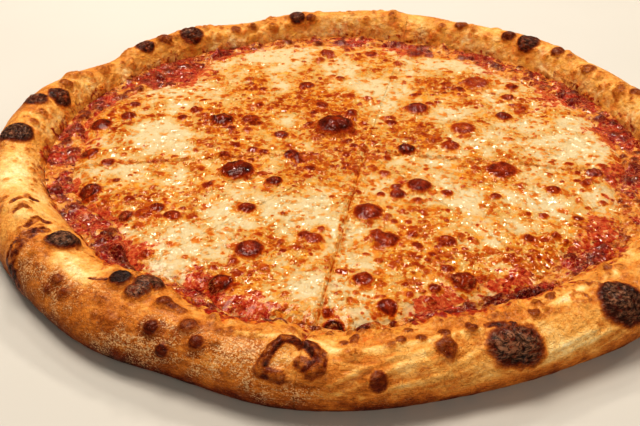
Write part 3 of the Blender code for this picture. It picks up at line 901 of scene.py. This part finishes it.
def shapeCrust(azimuth, angle):
    # Points of the finished rim, and the fields that its material reads
    form = crustForm
    plain = rimPoint(azimuth, angle)
    outward = outwardAt(azimuth, angle)
    top = np.sin(np.radians(np.clip(angle, 0, 180)))
    large, medium, small = (noiseAt(plain, size * mm, seed)
                            for size, seed in ((14, 3.1), (5, 7.7), (1.9, 1.3)))
    unevenness = medium * 0.26 + small * 0.16
    wrinkled = folded(rimNoise(azimuth, angle, 2.2, 6.5, 4.1))
    crinkle = np.maximum(0.75 * ridgesAt(plain, 3.4 * mm, 5.5), wrinkled).clip(0, 1)

    near = bell(turnBetween(azimuth, 250), 75)          # the side nearest to the camera
    far = 1 - near
    slope = smooth(angle, 96, 128) * (1 - smooth(angle, 158, 176))
    scallop = rimNoise(azimuth, angle, 5.5, 70, 9.2)
    push = form["lumps"] * large * (0.3 + 0.7 * top)
    push += form["dimples"] * medium + form["grain"] * small
    push += form["bulges"] * slope * far * np.maximum(scallop, -0.15)

    # Skin stretched into long ridges, which climb to the right on the right front
    marked = smooth(azimuth, 232, 244) * (1 - smooth(azimuth, 322, 334)) * smooth(angle, 0, 16)
    marked *= 1 - smooth(angle, 70 + 20 * smooth(azimuth, 292, 300), 96)
    lift = 3.5 * smooth(azimuth, 266, 288)
    climbed = angle - lift * (azimuth - 288)
    ridges = (0.6 * folded(rimNoise(azimuth, climbed, 10, 8.5, 2.2)).clip(-0.2, 1)
              + 0.5 * folded(rimNoise(azimuth, climbed, 6, 4.5, 7.2)).clip(-0.2, 1))
    ridges *= 0.45 + 0.55 * smooth(azimuth, 262, 270)
    push += form["stretchMarks"] * marked * ridges

    line = np.interp(azimuth, climbLine[:, 0], climbLine[:, 1], period=360)
    climb = angle - line + 10 * noiseAt(plain, 9 * mm, 4.4) + 5 * medium
    bubbly = noiseAt(plain, 2.6 * mm, 2.7).clip(-0.3, 1)
    oily = smooth(climb, -8, 6) * (1 - smooth(angle, 150, 172))
    push += 0.8 * mm * oily * (0.7 * bubbly + 0.5 * medium)

    char, halo, ashAndHighlight, gloss, cream = (np.zeros(len(plain)) for _ in range(5))
    spots = np.concatenate((rimBlisters, scatteredBlisters(np.random.RandomState(11))))
    centres = rimPoint(spots[:, 0], spots[:, 1])
    for number, index, share in touchedBySpots(plain, centres, spots[:, 2] * mm, unevenness):
        _, _, radius, height, burn = spots[number]
        if burn > 0.84:
            share = share / (1 + 0.55 * unevenness[index])
        inside = np.clip(1 - share**2, 0, 1)
        push[index] += height * mm * (inside if radius > 7 else 1.6 * inside**0.75)
        # An uncharred swelling gets a lighter top: a painted highlight
        if burn == 0:
            raiseTo(cream, index, 0.12 * inside)
            continue
        core = burn * smooth(share, 1.22, 0.55 if radius > 4.8 or burn > 0.7 else 0.25)
        core *= 0.88 + 0.16 * bell(share - 0.80, 0.20) + 0.10 * small[index]
        raiseTo(char, index, core)
        raiseTo(halo, index, min(burn, 0.9) * bell(share, 1.45))
        raiseTo(gloss, index, smooth(share, 1.0, 0.6) * (0.9 if radius < 7 else 0.5))
        if 0.84 < burn < 1.1 and radius > 4.8:
            depth = 0.9 if radius > 7 else 0.5
            push[index] -= depth * mm * inside**0.5 * crinkle[index] ** 2
            # The smooth top of a big charred blister turns grey, more on the near side: partly ash,
            # partly a painted highlight
            grey = smooth(share, 1.0, 0.3) * (1 - crinkle[index] ** 3) * (0.4 + 0.6 * near[index])
            raiseTo(ashAndHighlight, index, grey)
    for number, index, away in markLines(plain, azimuth, rimLines, unevenness):
        _, width, height, burn = rimLines[number]
        push[index] += height * mm * bell(away, 0.8)
        weakest = 0.85 if width > 7 else 0.45 if burn > 0.9 or height < 0 else 0.78
        broken = (0.88 + 0.45 * medium[index] + 0.40 * small[index]).clip(weakest, 1.08)
        line = burn * smooth(away, 1.35, 0.45 if width > 4 else 0.6) * broken
        line *= 0.90 + 0.22 * bell(away - 0.85, 0.3)
        raiseTo(char, index, line)
        raiseTo(halo, index, (0.7 if width > 4 else 0.45) * burn * bell(away, 1.7))
        raiseTo(gloss, index, smooth(away, 1.2, 0.5) * 0.8)
        if height > 0:
            push[index] -= 0.5 * mm * bell(away, 0.9) * crinkle[index] ** 2
            if burn > 0.84:
                # Grey on the tops of charred lines: partly ash, partly a painted highlight
                grey = smooth(away, 1.0, 0.3) * (1 - crinkle[index] ** 3)
                raiseTo(ashAndHighlight, index, grey if width > 7 else 0.12 * grey)
    # Lighter lines: painted highlights along the crest, and paler stretched ridges, raised a little
    for number, index, away in markLines(plain, azimuth, paleAndHighlightLines, unevenness):
        _, _, height, strength = paleAndHighlightLines[number]
        push[index] += height * mm * bell(away, 0.9)
        raiseTo(cream, index, strength * bell(away, 1.0))
    notch = pathDistance(plain, notchPath) / (1.0 * mm)
    push -= 2.2 * mm * bell(notch, 1.3)
    crack = bell(notch, 1.1)

    pinch = np.zeros(len(plain))
    for cut in cutAzimuths:
        depth = form["frontPinch"] if cut == frontCut else form["pinch"]
        pinch += depth * bell(seamDistance(plain, cut), form["pinchWidth"])
    moved = outward * (push * smooth(angle, -58, -30))[:, None]
    for cut in cutAzimuths:
        across = np.array((-math.sin(math.radians(cut)), math.cos(math.radians(cut)), 0))
        held = bell(seamDistance(plain, cut), 2.5 * mm)[:, None]
        moved -= held * (moved @ across)[:, None] * across
    points = plain + moved
    points[:, 2] -= pinch * top * mm
    low = np.array(cadLow) - frameShift + form["boxMargin"]
    high = np.array(cadHigh) - frameShift - form["boxMargin"]
    low[2] = 0
    points = np.clip(points, low, high)

    clean = 1 - char.clip(0, 1)
    # Darker towards the face it rests on and on the outer side: partly browning, partly painted shade
    underBrownAndShade = 1 - smooth(angle, -34, 26)                  # browner towards the face it rests on
    leftTop = bell(turnBetween(azimuth, 196), 14) * bell(angle - 85, 42)
    outside = 1 - smooth(angle, 55, 84)
    patchy = noiseAt(plain, 22 * mm, 12.5)
    # Painted light and shade in this field: the far side's top and inner slope are lighter, as if lit,
    # and the far slope's bulges lighter than the hollows between them; the near side just inside the
    # crest is lighter, a painted highlight; the outer side is darker near azimuth 243 and lighter near
    # 300, painted shade and light. The lighter lines and swelling tops taken off here are partly
    # painted highlights.
    browningAndLight = 0.38 + 0.07 * patchy + 0.09 * large + 0.07 * medium - 0.08 * far * top
    browningAndLight += 0.22 * underBrownAndShade + 0.08 * outside - 0.20 * leftTop + 0.02 * slope
    browningAndLight -= 0.10 * near * smooth(angle, 92, 106)
    browningAndLight += 0.10 * marked * rimNoise(azimuth, climbed, 7, 7, 6.1)
    browningAndLight += 0.12 * underBrownAndShade * medium - 0.08 * marked * ridges
    browningAndLight -= 0.20 * slope * far * (scallop + 0.9) + cream
    browningAndLight += 0.05 * bell(turnBetween(azimuth, 243), 20) * outside
    browningAndLight -= 0.17 * bell(turnBetween(azimuth, 300), 22) * outside
    browningAndLight = np.maximum(browningAndLight, 0.05)
    browningAndLight += 0.18 * halo * clean
    browningAndLight = np.maximum(browningAndLight, np.minimum(char * 0.92, 1.0) * (char > 0.05))
    # Painted shade: the notch of the front cut is darkened
    browningAndLight = np.maximum(browningAndLight, 0.62 * crack)
    flour = (0.30 + 0.70 * smooth(patchy + 0.5 * medium, -0.35, 0.35)) * (0.25 + 0.75 * near)
    flour *= smooth(angle, -45, 0) * (1 - smooth(angle, 72, 104)) * clean
    flour *= 1 - 0.55 * smooth(azimuth, 262, 275) * (1 - smooth(azimuth, 330, 345))
    oil = np.maximum(smooth(climb, -12, 6) * (0.95 - 0.20 * far), 0.78 * slope * far) * clean
    red = nearPlaces(plain, [(x * 1.08, y * 1.08, radius * 1.2) for x, y, radius in redPlaces])
    redness = red + 0.15 - 0.3 * far + 0.8 * noiseAt(plain, 6.5 * mm, 6.8)
    stain = (1 - 0.55 * far) * smooth(climb, -2, 9) * smooth(redness, 0.15, 0.70)
    gloss = np.maximum(gloss, 0.8 * smooth(climb, -16, 0))
    fields = dict(browningAndLight=browningAndLight, flour=flour, oil=(oil + 0.5 * halo * slope).clip(0, 1), stain=stain,
                  ashAndHighlight=ashAndHighlight, gloss=gloss.clip(0, 1))
    return points, fields


def buildCrust():
    grids, sectionLength = crustGrids()
    azimuth = np.concatenate([grid[0].ravel() for grid in grids])
    angle = np.concatenate([grid[1].ravel() for grid in grids])
    points, fields = shapeCrust(azimuth, angle)
    rows = crustForm["rows"]
    done = 0
    for number, (grid, _) in enumerate(grids):
        columns = grid.shape[0]
        count = columns * rows
        own = slice(done, done + count)
        done += count
        tip, start, end = sliceFrame(number)
        extra, walls = [(*tip, 0.0), (*tip, baseThickness)], []
        index = np.arange(count).reshape(columns, rows)
        surface = np.stack((index[:-1, :-1], index[1:, :-1], index[1:, 1:], index[:-1, 1:]), -1)
        tipBottom, tipTop = count, count + 1
        base = [(tipBottom, b, a) for a, b in zip(index[:-1, 0], index[1:, 0])]
        base += [(tipTop, a, b) for a, b in zip(index[:-1, -1], index[1:, -1])]
        for wall, column in enumerate((index[0], index[-1])):
            crestPoint, footPoint = points[own][column[rows * 2 // 3]], points[own][column[-1]]
            extra.append((*(footPoint[:2] * 0.7 + crestPoint[:2] * 0.3), baseThickness / 2))
            ring = [tipBottom, *column, tipTop, tipBottom]
            for a, b in zip(ring[:-1], ring[1:]):
                walls.append((count + 2 + wall, a, b) if wall else (count + 2 + wall, b, a))
        allPoints = np.concatenate((points[own], extra))
        away = np.hypot(allPoints[:, 0] - tip[0], allPoints[:, 1] - tip[1])
        unrolled = np.zeros((len(allPoints), 2))
        width = math.radians(end - start) * crustForm["unrollRadius"]
        unrolled[:count, 0] = np.repeat(np.linspace(0, width, columns), rows)
        unrolled[:count, 1] = np.tile(np.linspace(0, sectionLength, rows), columns)
        side = np.stack((away, allPoints[:, 2]), -1)
        parts = (
            dict(faces=surface.reshape(-1, 4).tolist(), material=doughMaterial, smooth=True,
                 flat=unrolled, rectangle=(0.01, 0.5, 0.98, 0.49)),
            dict(faces=base, material=doughMaterial, smooth=False, flat=allPoints[:, :2],
                 rectangle=(0.01, 0.01, 0.6, 0.47)),
            dict(faces=walls, material=crumbMaterial, smooth=False, flat=side,
                 rectangle=(0.65, 0.01, 0.34, 0.47)),
        )
        mine = {label: padded(values[own], len(extra)) for label, values in fields.items()}
        mine["browningAndLight"][count:] = crustForm["undersideBake"]
        makePiece(f"baked_crust_{number + 1}", f"crust_slice_{number + 1}", allPoints,
                  parts, mine)
    print("crust made:", len(points), "points")


def cheeseRadius(azimuth):
    # The CAD model's uneven edge
    angle = np.radians(azimuth)
    circle = np.stack((3 * np.cos(angle), 3 * np.sin(angle), 0 * angle + 0.7), -1)
    wave = noiseAt(circle.reshape(-1, 3), 1.0).reshape(angle.shape)
    radius = cheese["radius"] + 2 * cheese["wave"] * wave
    for place, halfWidth, depth in sauceBays:
        radius = radius - depth * mm * bell(turnBetween(azimuth, place), halfWidth)
    return np.minimum(radius, rimAt(azimuth)[3] - cheese["toFoot"])


edgeAzimuths = np.arange(0, 360.1, 0.2)
edgeTable = cheeseRadius(edgeAzimuths)
edgeLine = turned(cheese["radius"], edgeAzimuths, 0.0)
for waveSize, waveHeight in ((8, 2.2), (3.4, 1.3)):
    edgeTable = edgeTable + waveHeight * mm * noiseAt(edgeLine, waveSize * mm, 3.3)


def cheeseEdge(azimuth):
    # The same edge with finer waves, from a table by azimuth
    return np.interp(azimuth % 360, edgeAzimuths, edgeTable)


def sauceEdge(azimuth):
    return rimAt(azimuth)[3] + 0.3 * mm


def fanGrid(rows):
    # A triangle divided evenly: each point's share of the way out and across, and the triangles
    row = np.repeat(np.arange(rows + 1), np.arange(1, rows + 2))
    place = np.arange(len(row)) - row * (row + 1) // 2
    index = np.arange(len(row))
    upright = index[row < rows]
    turnedOver = index[(row < rows) & (place < row)]
    faces = [np.stack((upright, upright + row[upright] + 1, upright + row[upright] + 2), -1),
             np.stack((turnedOver, turnedOver + row[turnedOver] + 2, turnedOver + 1), -1)]
    return row / rows, place / np.maximum(row, 1), np.concatenate(faces)


def fanSlices(rows, radiusAt, shareOut):
    # Flat points of the eight slices of a layer, with their distance from its outer edge
    out, across, faces = fanGrid(rows)
    slices = []
    for number in range(8):
        tip, start, end = sliceFrame(number)
        rays = start + (end - start) * across
        reach, _ = reachOnRays(tip, rays, radiusAt)
        length = reach * shareOut(out)
        angle = np.radians(rays)
        flat = tip + length[:, None] * np.stack((np.cos(angle), np.sin(angle)), -1)
        slices.append(np.column_stack((flat, reach - length)))
    return slices, faces


def closeSlice(rows, count):
    # Skirt and underside of a fan: its outline doubled, wall faces and one flat face
    starts = np.arange(rows + 1) * np.arange(1, rows + 2) // 2
    outline = np.concatenate((starts, starts[-1] + np.arange(1, rows + 1),
                              (starts + np.arange(rows + 1))[-2:0:-1]))
    lower = count + np.arange(len(outline))
    nextTop, nextLow = np.roll(outline, -1), np.roll(lower, -1)
    walls = np.stack((outline, lower, nextLow, nextTop), -1).tolist()
    return outline, walls, [lower[::-1].tolist()]


def buildLayer(layer, rows, slices, faces, points, fields, bottom, material, slot):
    count = len(slices[0])
    outline, walls, underside = closeSlice(rows, count)
    for number in range(8):
        own = slice(number * count, (number + 1) * count)
        low = points[own][outline].copy()
        low[:, 2] = bottom
        allPoints = np.concatenate((points[own], low))
        along = np.concatenate(([0], np.cumsum(np.linalg.norm(np.diff(low[:, :2], axis=0), axis=1))))
        skirt = np.zeros((len(allPoints), 2))
        skirt[outline, 0], skirt[count:, 0] = along, along
        skirt[:, 1] = allPoints[:, 2] * 8
        parts = (
            dict(faces=faces.tolist(), material=material, smooth=True, flat=allPoints[:, :2],
                 rectangle=(0.01, 0.1, 0.68, 0.89)),
            dict(faces=walls, material=material, smooth=False, flat=skirt,
                 rectangle=(0.01, 0.01, 0.98, 0.07)),
            dict(faces=underside, material=material, smooth=False, flat=allPoints[:, :2],
                 rectangle=(0.71, 0.1, 0.28, 0.89)),
        )
        values = {label: np.concatenate((field[own], field[own][outline]))
                  for label, field in fields.items()}
        makePiece(f"{layer}_{number + 1}", f"{slot[1]}_slice_{number + 1}", allPoints,
                  parts, values)
    print(layer, "made:", len(points), "points")


def seamGroove(points, width):
    # How strongly the three visible cuts, and faintly the five others, mark a surface
    mark = np.zeros(len(points))
    for cut in cutAzimuths:
        strength = 1.0 if cut in openSeams else 0.12
        mark = np.maximum(mark, strength * bell(seamDistance(points, cut), width))
    return mark


# Bubbles: X, Y, radius, height in millimetres, browning (0 to 1)
cheeseBubbles = np.array((
    (-7, 27, 13, 5.8, 0.86), (-60, -28, 11, 5.0, 0.90), (-76, 33, 8, 3.2, 0.85),
    (-59, 34, 7, 2.4, 0.66),
    (87, -21, 10, 2.4, 0.74), (12, -67, 9, 3.0, 0.76), (40, -39, 8, 3.0, 0.82), (35, 1, 6, 3.4, 0.98),
    (44, 53, 8, 3.2, 0.80), (70, 27, 9, 2.2, 0.62), (61, 6, 6, 1.8, 0.66), (85, 93, 10, 2.0, 0.62),
    (97, 46, 6, 2.6, 0.84), (103, 72, 5, 1.8, 0.72), (108, 88, 5, 1.8, 0.78),
    (-113, -74, 5, 1.8, 0.80), (-104, -72, 6, 1.4, 0.60),
    (-98, -66, 5, 1.8, 0.78), (-89, -73, 5.6, 1.7, 0.74),
    (-137, -51, 7.5, 2.8, 0.86), (-134, -21, 5, 1.8, 0.70), (-51, -65, 5.5, 1.8, 0.80),
    (-39, -38, 5.5, 2.0, 0.88), (-46, -102, 8.5, 2.8, 0.80), (21, -91, 7.5, 2.2, 0.74),
    (51, -90, 5.5, 1.8, 0.74), (-15, -91, 5.5, 1.6, 0.66), (-57, -129, 7.5, 2.2, 0.80),
    (56, -123, 7.5, 2.6, 0.80), (9, -123, 6, 1.8, 0.72), (20, -142, 5.5, 1.6, 0.80),
    (-4, -156, 6, 1.8, 1.00), (112, -40, 5, 1.6, 0.70), (138, -22, 5.5, 1.9, 0.76),
    (-135, 36, 5.5, 1.9, 0.80), (-94, 46, 5, 1.6, 0.70), (-15, 138, 6, 1.8, 0.72),
    (16, 138, 5.5, 1.7, 0.72), (47, 142, 8, 2.4, 0.80), (-149, 24, 8, 2.6, 0.82),
    (-148, -10, 7, 2.2, 0.80), (-31, -9, 5.5, 1.8, 0.84), (-39, 16, 5.5, 1.8, 0.80),
    (-16, 57, 5, 1.6, 0.70), (-70, -9, 4.5, 1.3, 0.68), (-54, -4, 4.5, 1.3, 0.68),
    (-27, 85, 6, 2.0, 0.78), (28, -48, 5, 1.7, 0.78),
), float)

cheeseForm = dict(rows=228, mediumSpots=110, smallSpots=560, tinySpots=1500)


def scatteredSpots(random):
    # Small browned spots, gathered in drifts
    kinds = (("mediumSpots", 2.6, 4.6, 0.32, 0.46, 0.74), ("smallSpots", 1.3, 2.7, 0.30, 0.36, 0.66),
             ("tinySpots", 0.7, 1.5, 0.14, 0.26, 0.52))
    rows = []
    for label, least, most, lift, faint, strong in kinds:
        tried = cheeseForm[label] * 3
        azimuth, far = random.uniform(0, 360, tried), np.sqrt(random.uniform(0, 1, tried))
        spots = turned(far * (cheeseEdge(azimuth) - 2 * mm), azimuth, 0.0)
        drift = 0.5 * noiseAt(spots, 24 * mm, 6.1) + 0.6 * noiseAt(spots, 9 * mm, 2.9) + 0.25 * far
        drift += 0.5 * (nearPlaces(spots, busyPlaces) - nearPlaces(spots, calmPlaces))
        kept = np.argsort(-drift + random.normal(0, 0.38, tried))[:cheeseForm[label]]
        radius = random.uniform(least, most, len(kept))
        rows.append(np.column_stack((spots[kept, :2] / mm, radius,
                                     radius * lift * random.uniform(0.5, 1.3, len(kept)),
                                     random.uniform(faint, strong, len(kept)))))
    return np.concatenate(rows)


def shapeCheese(flat, edgeDistance):
    ground = np.column_stack((flat, np.zeros(len(flat))))
    grown = np.clip(edgeDistance / cheese["edgeRounding"], 0, 1)
    rounding = np.sin(grown * math.pi / 2)
    lifted = ground + (0, 0, 2.3 * cheese["swellSize"])
    swell = cheese["swellHeight"] * noiseAt(lifted, cheese["swellSize"])
    large, medium, small = (noiseAt(ground, size * mm, seed)
                            for size, seed in ((11, 3.7), (4, 8.1), (1.7, 5.3)))
    strands = ridgesAt(ground, 6.5 * mm, 1.9)
    unevenness = 0.24 * medium + 0.14 * small
    relief = 0.50 * large + 0.42 * medium + 0.16 * small + 0.26 * strands
    height = (cheese["edgeThickness"]
              + (cheese["thickness"] - cheese["edgeThickness"] + swell + relief * mm) * rounding)

    brown, halo = np.zeros(len(flat)), np.zeros(len(flat))
    spots = np.concatenate((cheeseBubbles, scatteredSpots(np.random.RandomState(5))))
    centres = np.column_stack((spots[:, :2] * mm, np.zeros(len(spots))))
    wrinkle = ridgesAt(ground, 2.6 * mm, 4.6)
    for number, index, share in touchedBySpots(ground, centres, spots[:, 2] * mm, unevenness):
        _, _, radius, lift, burn = spots[number]
        share = share * (1 + unevenness[index]) if radius < 4 else share / (1 + 0.4 * unevenness[index])
        inside = np.clip(1 - share**2, 0, 1)
        height[index] += lift * mm * inside ** (0.75 if radius > 4.6 else 1.0) * rounding[index]
        if radius > 4.6:
            height[index] -= 0.50 * mm * inside * wrinkle[index].clip(0, 1) ** 2
            tone = burn * smooth(share, 1.16, 0.60)
            tone *= 0.78 + 0.22 * bell(share - 0.70, 0.28) + 0.22 * medium[index]
        else:
            tone = burn * smooth(share, 1.15, 0.45)
        raiseTo(brown, index, tone)
        raiseTo(halo, index, min(1.0, radius / 5) * bell(share, 1.5))

    groove = seamGroove(ground, 0.9 * mm)
    lips = seamGroove(ground, 2.6 * mm) * (1 - groove)
    height += mm * (1.3 * lips * (0.4 + small + medium) - 0.6 * groove) * rounding
    red = nearPlaces(ground, redPlaces)
    drift = 0.45 * noiseAt(ground, 26 * mm, 6.6) + 0.30 * noiseAt(ground, 11 * mm, 5.2)
    drift += 0.50 * (nearPlaces(ground, busyPlaces) - nearPlaces(ground, calmPlaces))
    streaks = noiseAt(ground * (0.7, 1.3, 1), 5.5 * mm, 9.9) + 0.6 * noiseAt(ground, 2.4 * mm, 4.1)
    brown = np.maximum(brown, 0.40 * smooth(streaks + 0.45 * drift, 0.35, 0.80))
    busy = smooth(drift + 0.4 * large + 0.2 * noiseAt(ground, 50 * mm, 1.2), -0.42, 0.52)
    busy = np.maximum(busy, np.maximum(0.9 * halo, 0.9 * lips))
    brown = np.maximum(brown, 0.46 * groove * smooth(medium, -0.6, 0.3))
    oil = smooth(drift + 0.7 * medium + 0.5 * strands, 0.10, 0.95)
    oil = np.maximum(oil, np.maximum(0.95 * halo, 0.7 * lips))
    pale = smooth(-drift - 0.4 * large, -0.12, 0.34) * (1 - halo) * (1 - 0.7 * lips)
    toEdge = 1 - smooth(edgeDistance, 0, 20 * mm)
    patches = noiseAt(ground, 11 * mm, 2.4) + 0.8 * noiseAt(ground, 5 * mm, 7.2)
    thin = smooth(0.62 * patches + 0.42 * toEdge + 1.15 * red, 0.22, 1.10)
    return (np.column_stack((flat, cheeseBottom + np.maximum(height, 0.15 * mm))),
            dict(brown=brown, oil=oil, pale=pale, thin=thin, busy=busy))


def buildCheese():
    slices, faces = fanSlices(cheeseForm["rows"], cheeseEdge, lambda share: share)
    every = np.concatenate(slices)
    points, fields = shapeCheese(every[:, :2], every[:, 2])
    buildLayer("cheese_layer", cheeseForm["rows"], slices, faces, points, fields, cheeseBottom,
               cheeseMaterial, ("melted_cheese", "cheese"))


sauceForm = dict(rows=126, gather=1.7, lump=0.9 * mm, bead=0.35 * mm, blisters=420)


def shapeSauce(flat, edgeDistance):
    ground = np.column_stack((flat, np.zeros(len(flat))))
    azimuth = np.degrees(np.arctan2(flat[:, 1], flat[:, 0])) % 360
    beyond = np.hypot(flat[:, 0], flat[:, 1]) - cheeseEdge(azimuth)     # outside the cheese's edge
    shown = smooth(beyond, -1.5 * mm, 2.0 * mm)
    large, medium, small = (noiseAt(ground, size * mm, seed)
                            for size, seed in ((9, 1.7), (4, 5.9), (1.6, 8.3)))
    height = sauceTop + 0.15 * mm + 0.5 * mm * shown
    height += shown * (sauceForm["lump"] * np.maximum(large, -0.2) + sauceForm["bead"] * medium
                       + 0.15 * mm * small)
    random = np.random.RandomState(23)
    azimuths = random.uniform(0, 360, sauceForm["blisters"])
    inner, outer = cheeseEdge(azimuths), sauceEdge(azimuths)
    centres = turned(inner + (outer - inner) * random.uniform(0.05, 0.95, len(azimuths)), azimuths, 0.0)
    radii = random.uniform(1.2, 5.2, len(azimuths)) * mm
    burnt = np.zeros(len(flat))
    unevenness = 0.3 * medium + 0.2 * small
    for number, index, share in touchedBySpots(ground, centres, radii, unevenness):
        inside = np.clip(1 - share**2, 0, 1)
        height[index] += 0.30 * radii[number] * inside**0.8 * shown[index]
        if number % 5 < 2:
            raiseTo(burnt, index, 0.8 * smooth(share, 1.1, 0.4))
    height += 0.3 * mm * (1 - smooth(edgeDistance, 0, 5 * mm))       # it climbs the rim a little
    tone = 0.42 + 0.28 * large + 0.2 * medium
    film = noiseAt(ground, 10 * mm, 3.9) + 0.8 * medium + 0.5 * small
    red = nearPlaces(ground, redPlaces)
    film += 0.40 + 0.45 * bell(beyond, 5 * mm) + 0.30 * bell(edgeDistance, 4 * mm) - 1.25 * red
    film = smooth(film, -0.30, 0.70)
    height += 0.6 * mm * film * shown * (0.4 + medium)
    return (np.column_stack((flat, height)), dict(tone=tone, film=film, burnt=burnt))


def buildSauce():
    slices, faces = fanSlices(sauceForm["rows"], sauceEdge,
                              lambda share: 1 - (1 - share) ** sauceForm["gather"])
    every = np.concatenate(slices)
    points, fields = shapeSauce(every[:, :2], every[:, 2])
    buildLayer("sauce_layer", sauceForm["rows"], slices, faces, points, fields, sauceBottom,
               sauceMaterial, ("tomato_sauce", "sauce"))


buildCrust()
buildSauce()
buildCheese()


def makeFloor():
    material, tree, shader = newMaterial("floor")
    colour = addMix(tree, addUneven(tree, 0.4), linear(210, 204, 196), linear(202, 196, 188))
    tree.links.new(colour, shader.inputs["Base Color"])
    shader.inputs["Roughness"].default_value = 0.7
    mesh = bpy.data.meshes.new("floor")
    corners = [(-6, -6, 0), (6, -6, 0), (6, 6, 0), (-6, 6, 0)]
    mesh.from_pydata(corners, [], [(0, 1, 2, 3)])
    mesh.materials.append(material)
    floor = bpy.data.objects.new("floor", mesh)
    bpy.context.scene.collection.objects.link(floor)


def makeLight(name, place, size, power):
    lamp = bpy.data.lights.new(name, "AREA")
    lamp.shape = "RECTANGLE"
    lamp.size, lamp.size_y = size
    lamp.energy = power
    lamp.color = (1.0, 0.95, 0.86)
    light = bpy.data.objects.new(name, lamp)
    light.location = place
    light.rotation_euler = (-Vector(place)).to_track_quat("-Z", "Y").to_euler()
    bpy.context.scene.collection.objects.link(light)


def makeCamera():
    # Fitted to the rim's outline in the photograph, which is 640 pixels wide
    focalPixels = 900
    pitch, yaw, roll = 0.5822, -0.0330, 0.0046
    ahead = Vector((math.sin(yaw) * math.cos(pitch), math.cos(yaw) * math.cos(pitch), -math.sin(pitch)))
    right = ahead.cross(Vector((0, 0, 1))).normalized()
    above = right.cross(ahead)
    right, above = (right * math.cos(roll) + above * math.sin(roll),
                    above * math.cos(roll) - right * math.sin(roll))
    data = bpy.data.cameras.new("camera")
    data.sensor_width = 36.0
    data.lens = data.sensor_width * focalPixels / 640
    camera = bpy.data.objects.new("camera", data)
    camera.matrix_world = Matrix((right, above, -ahead)).transposed().to_4x4()
    camera.location = Vector((0, -0.4567, 0.2668)) + Vector(frameShift)
    bpy.context.scene.collection.objects.link(camera)
    bpy.context.scene.camera = camera


makeFloor()
makeLight("key", (-0.30, 0.35, 1.30), (0.7, 0.5), 11.0)
makeLight("fill", (0.35, -1.35, 0.85), (1.1, 0.8), 6.8)
backPlaces = ((-0.95, 0.70, 1.05), (-0.30, 1.00, 1.00), (0.35, 1.00, 1.00), (0.95, 0.60, 1.00))
for number, place in enumerate(backPlaces):
    makeLight(f"back_{number + 1}", place, (0.16, 0.12), 2.7)
world = bpy.data.worlds.new("studio")
world.use_nodes = True
world.node_tree.nodes["Background"].inputs["Color"].default_value = (1.0, 0.94, 0.86, 1.0)
world.node_tree.nodes["Background"].inputs["Strength"].default_value = 0.09
bpy.context.scene.world = world
bpy.context.scene.view_settings.view_transform = "Standard"
bpy.context.scene.view_settings.look = "High Contrast"
makeCamera()

bpy.context.view_layer.update()
print("pizza made")
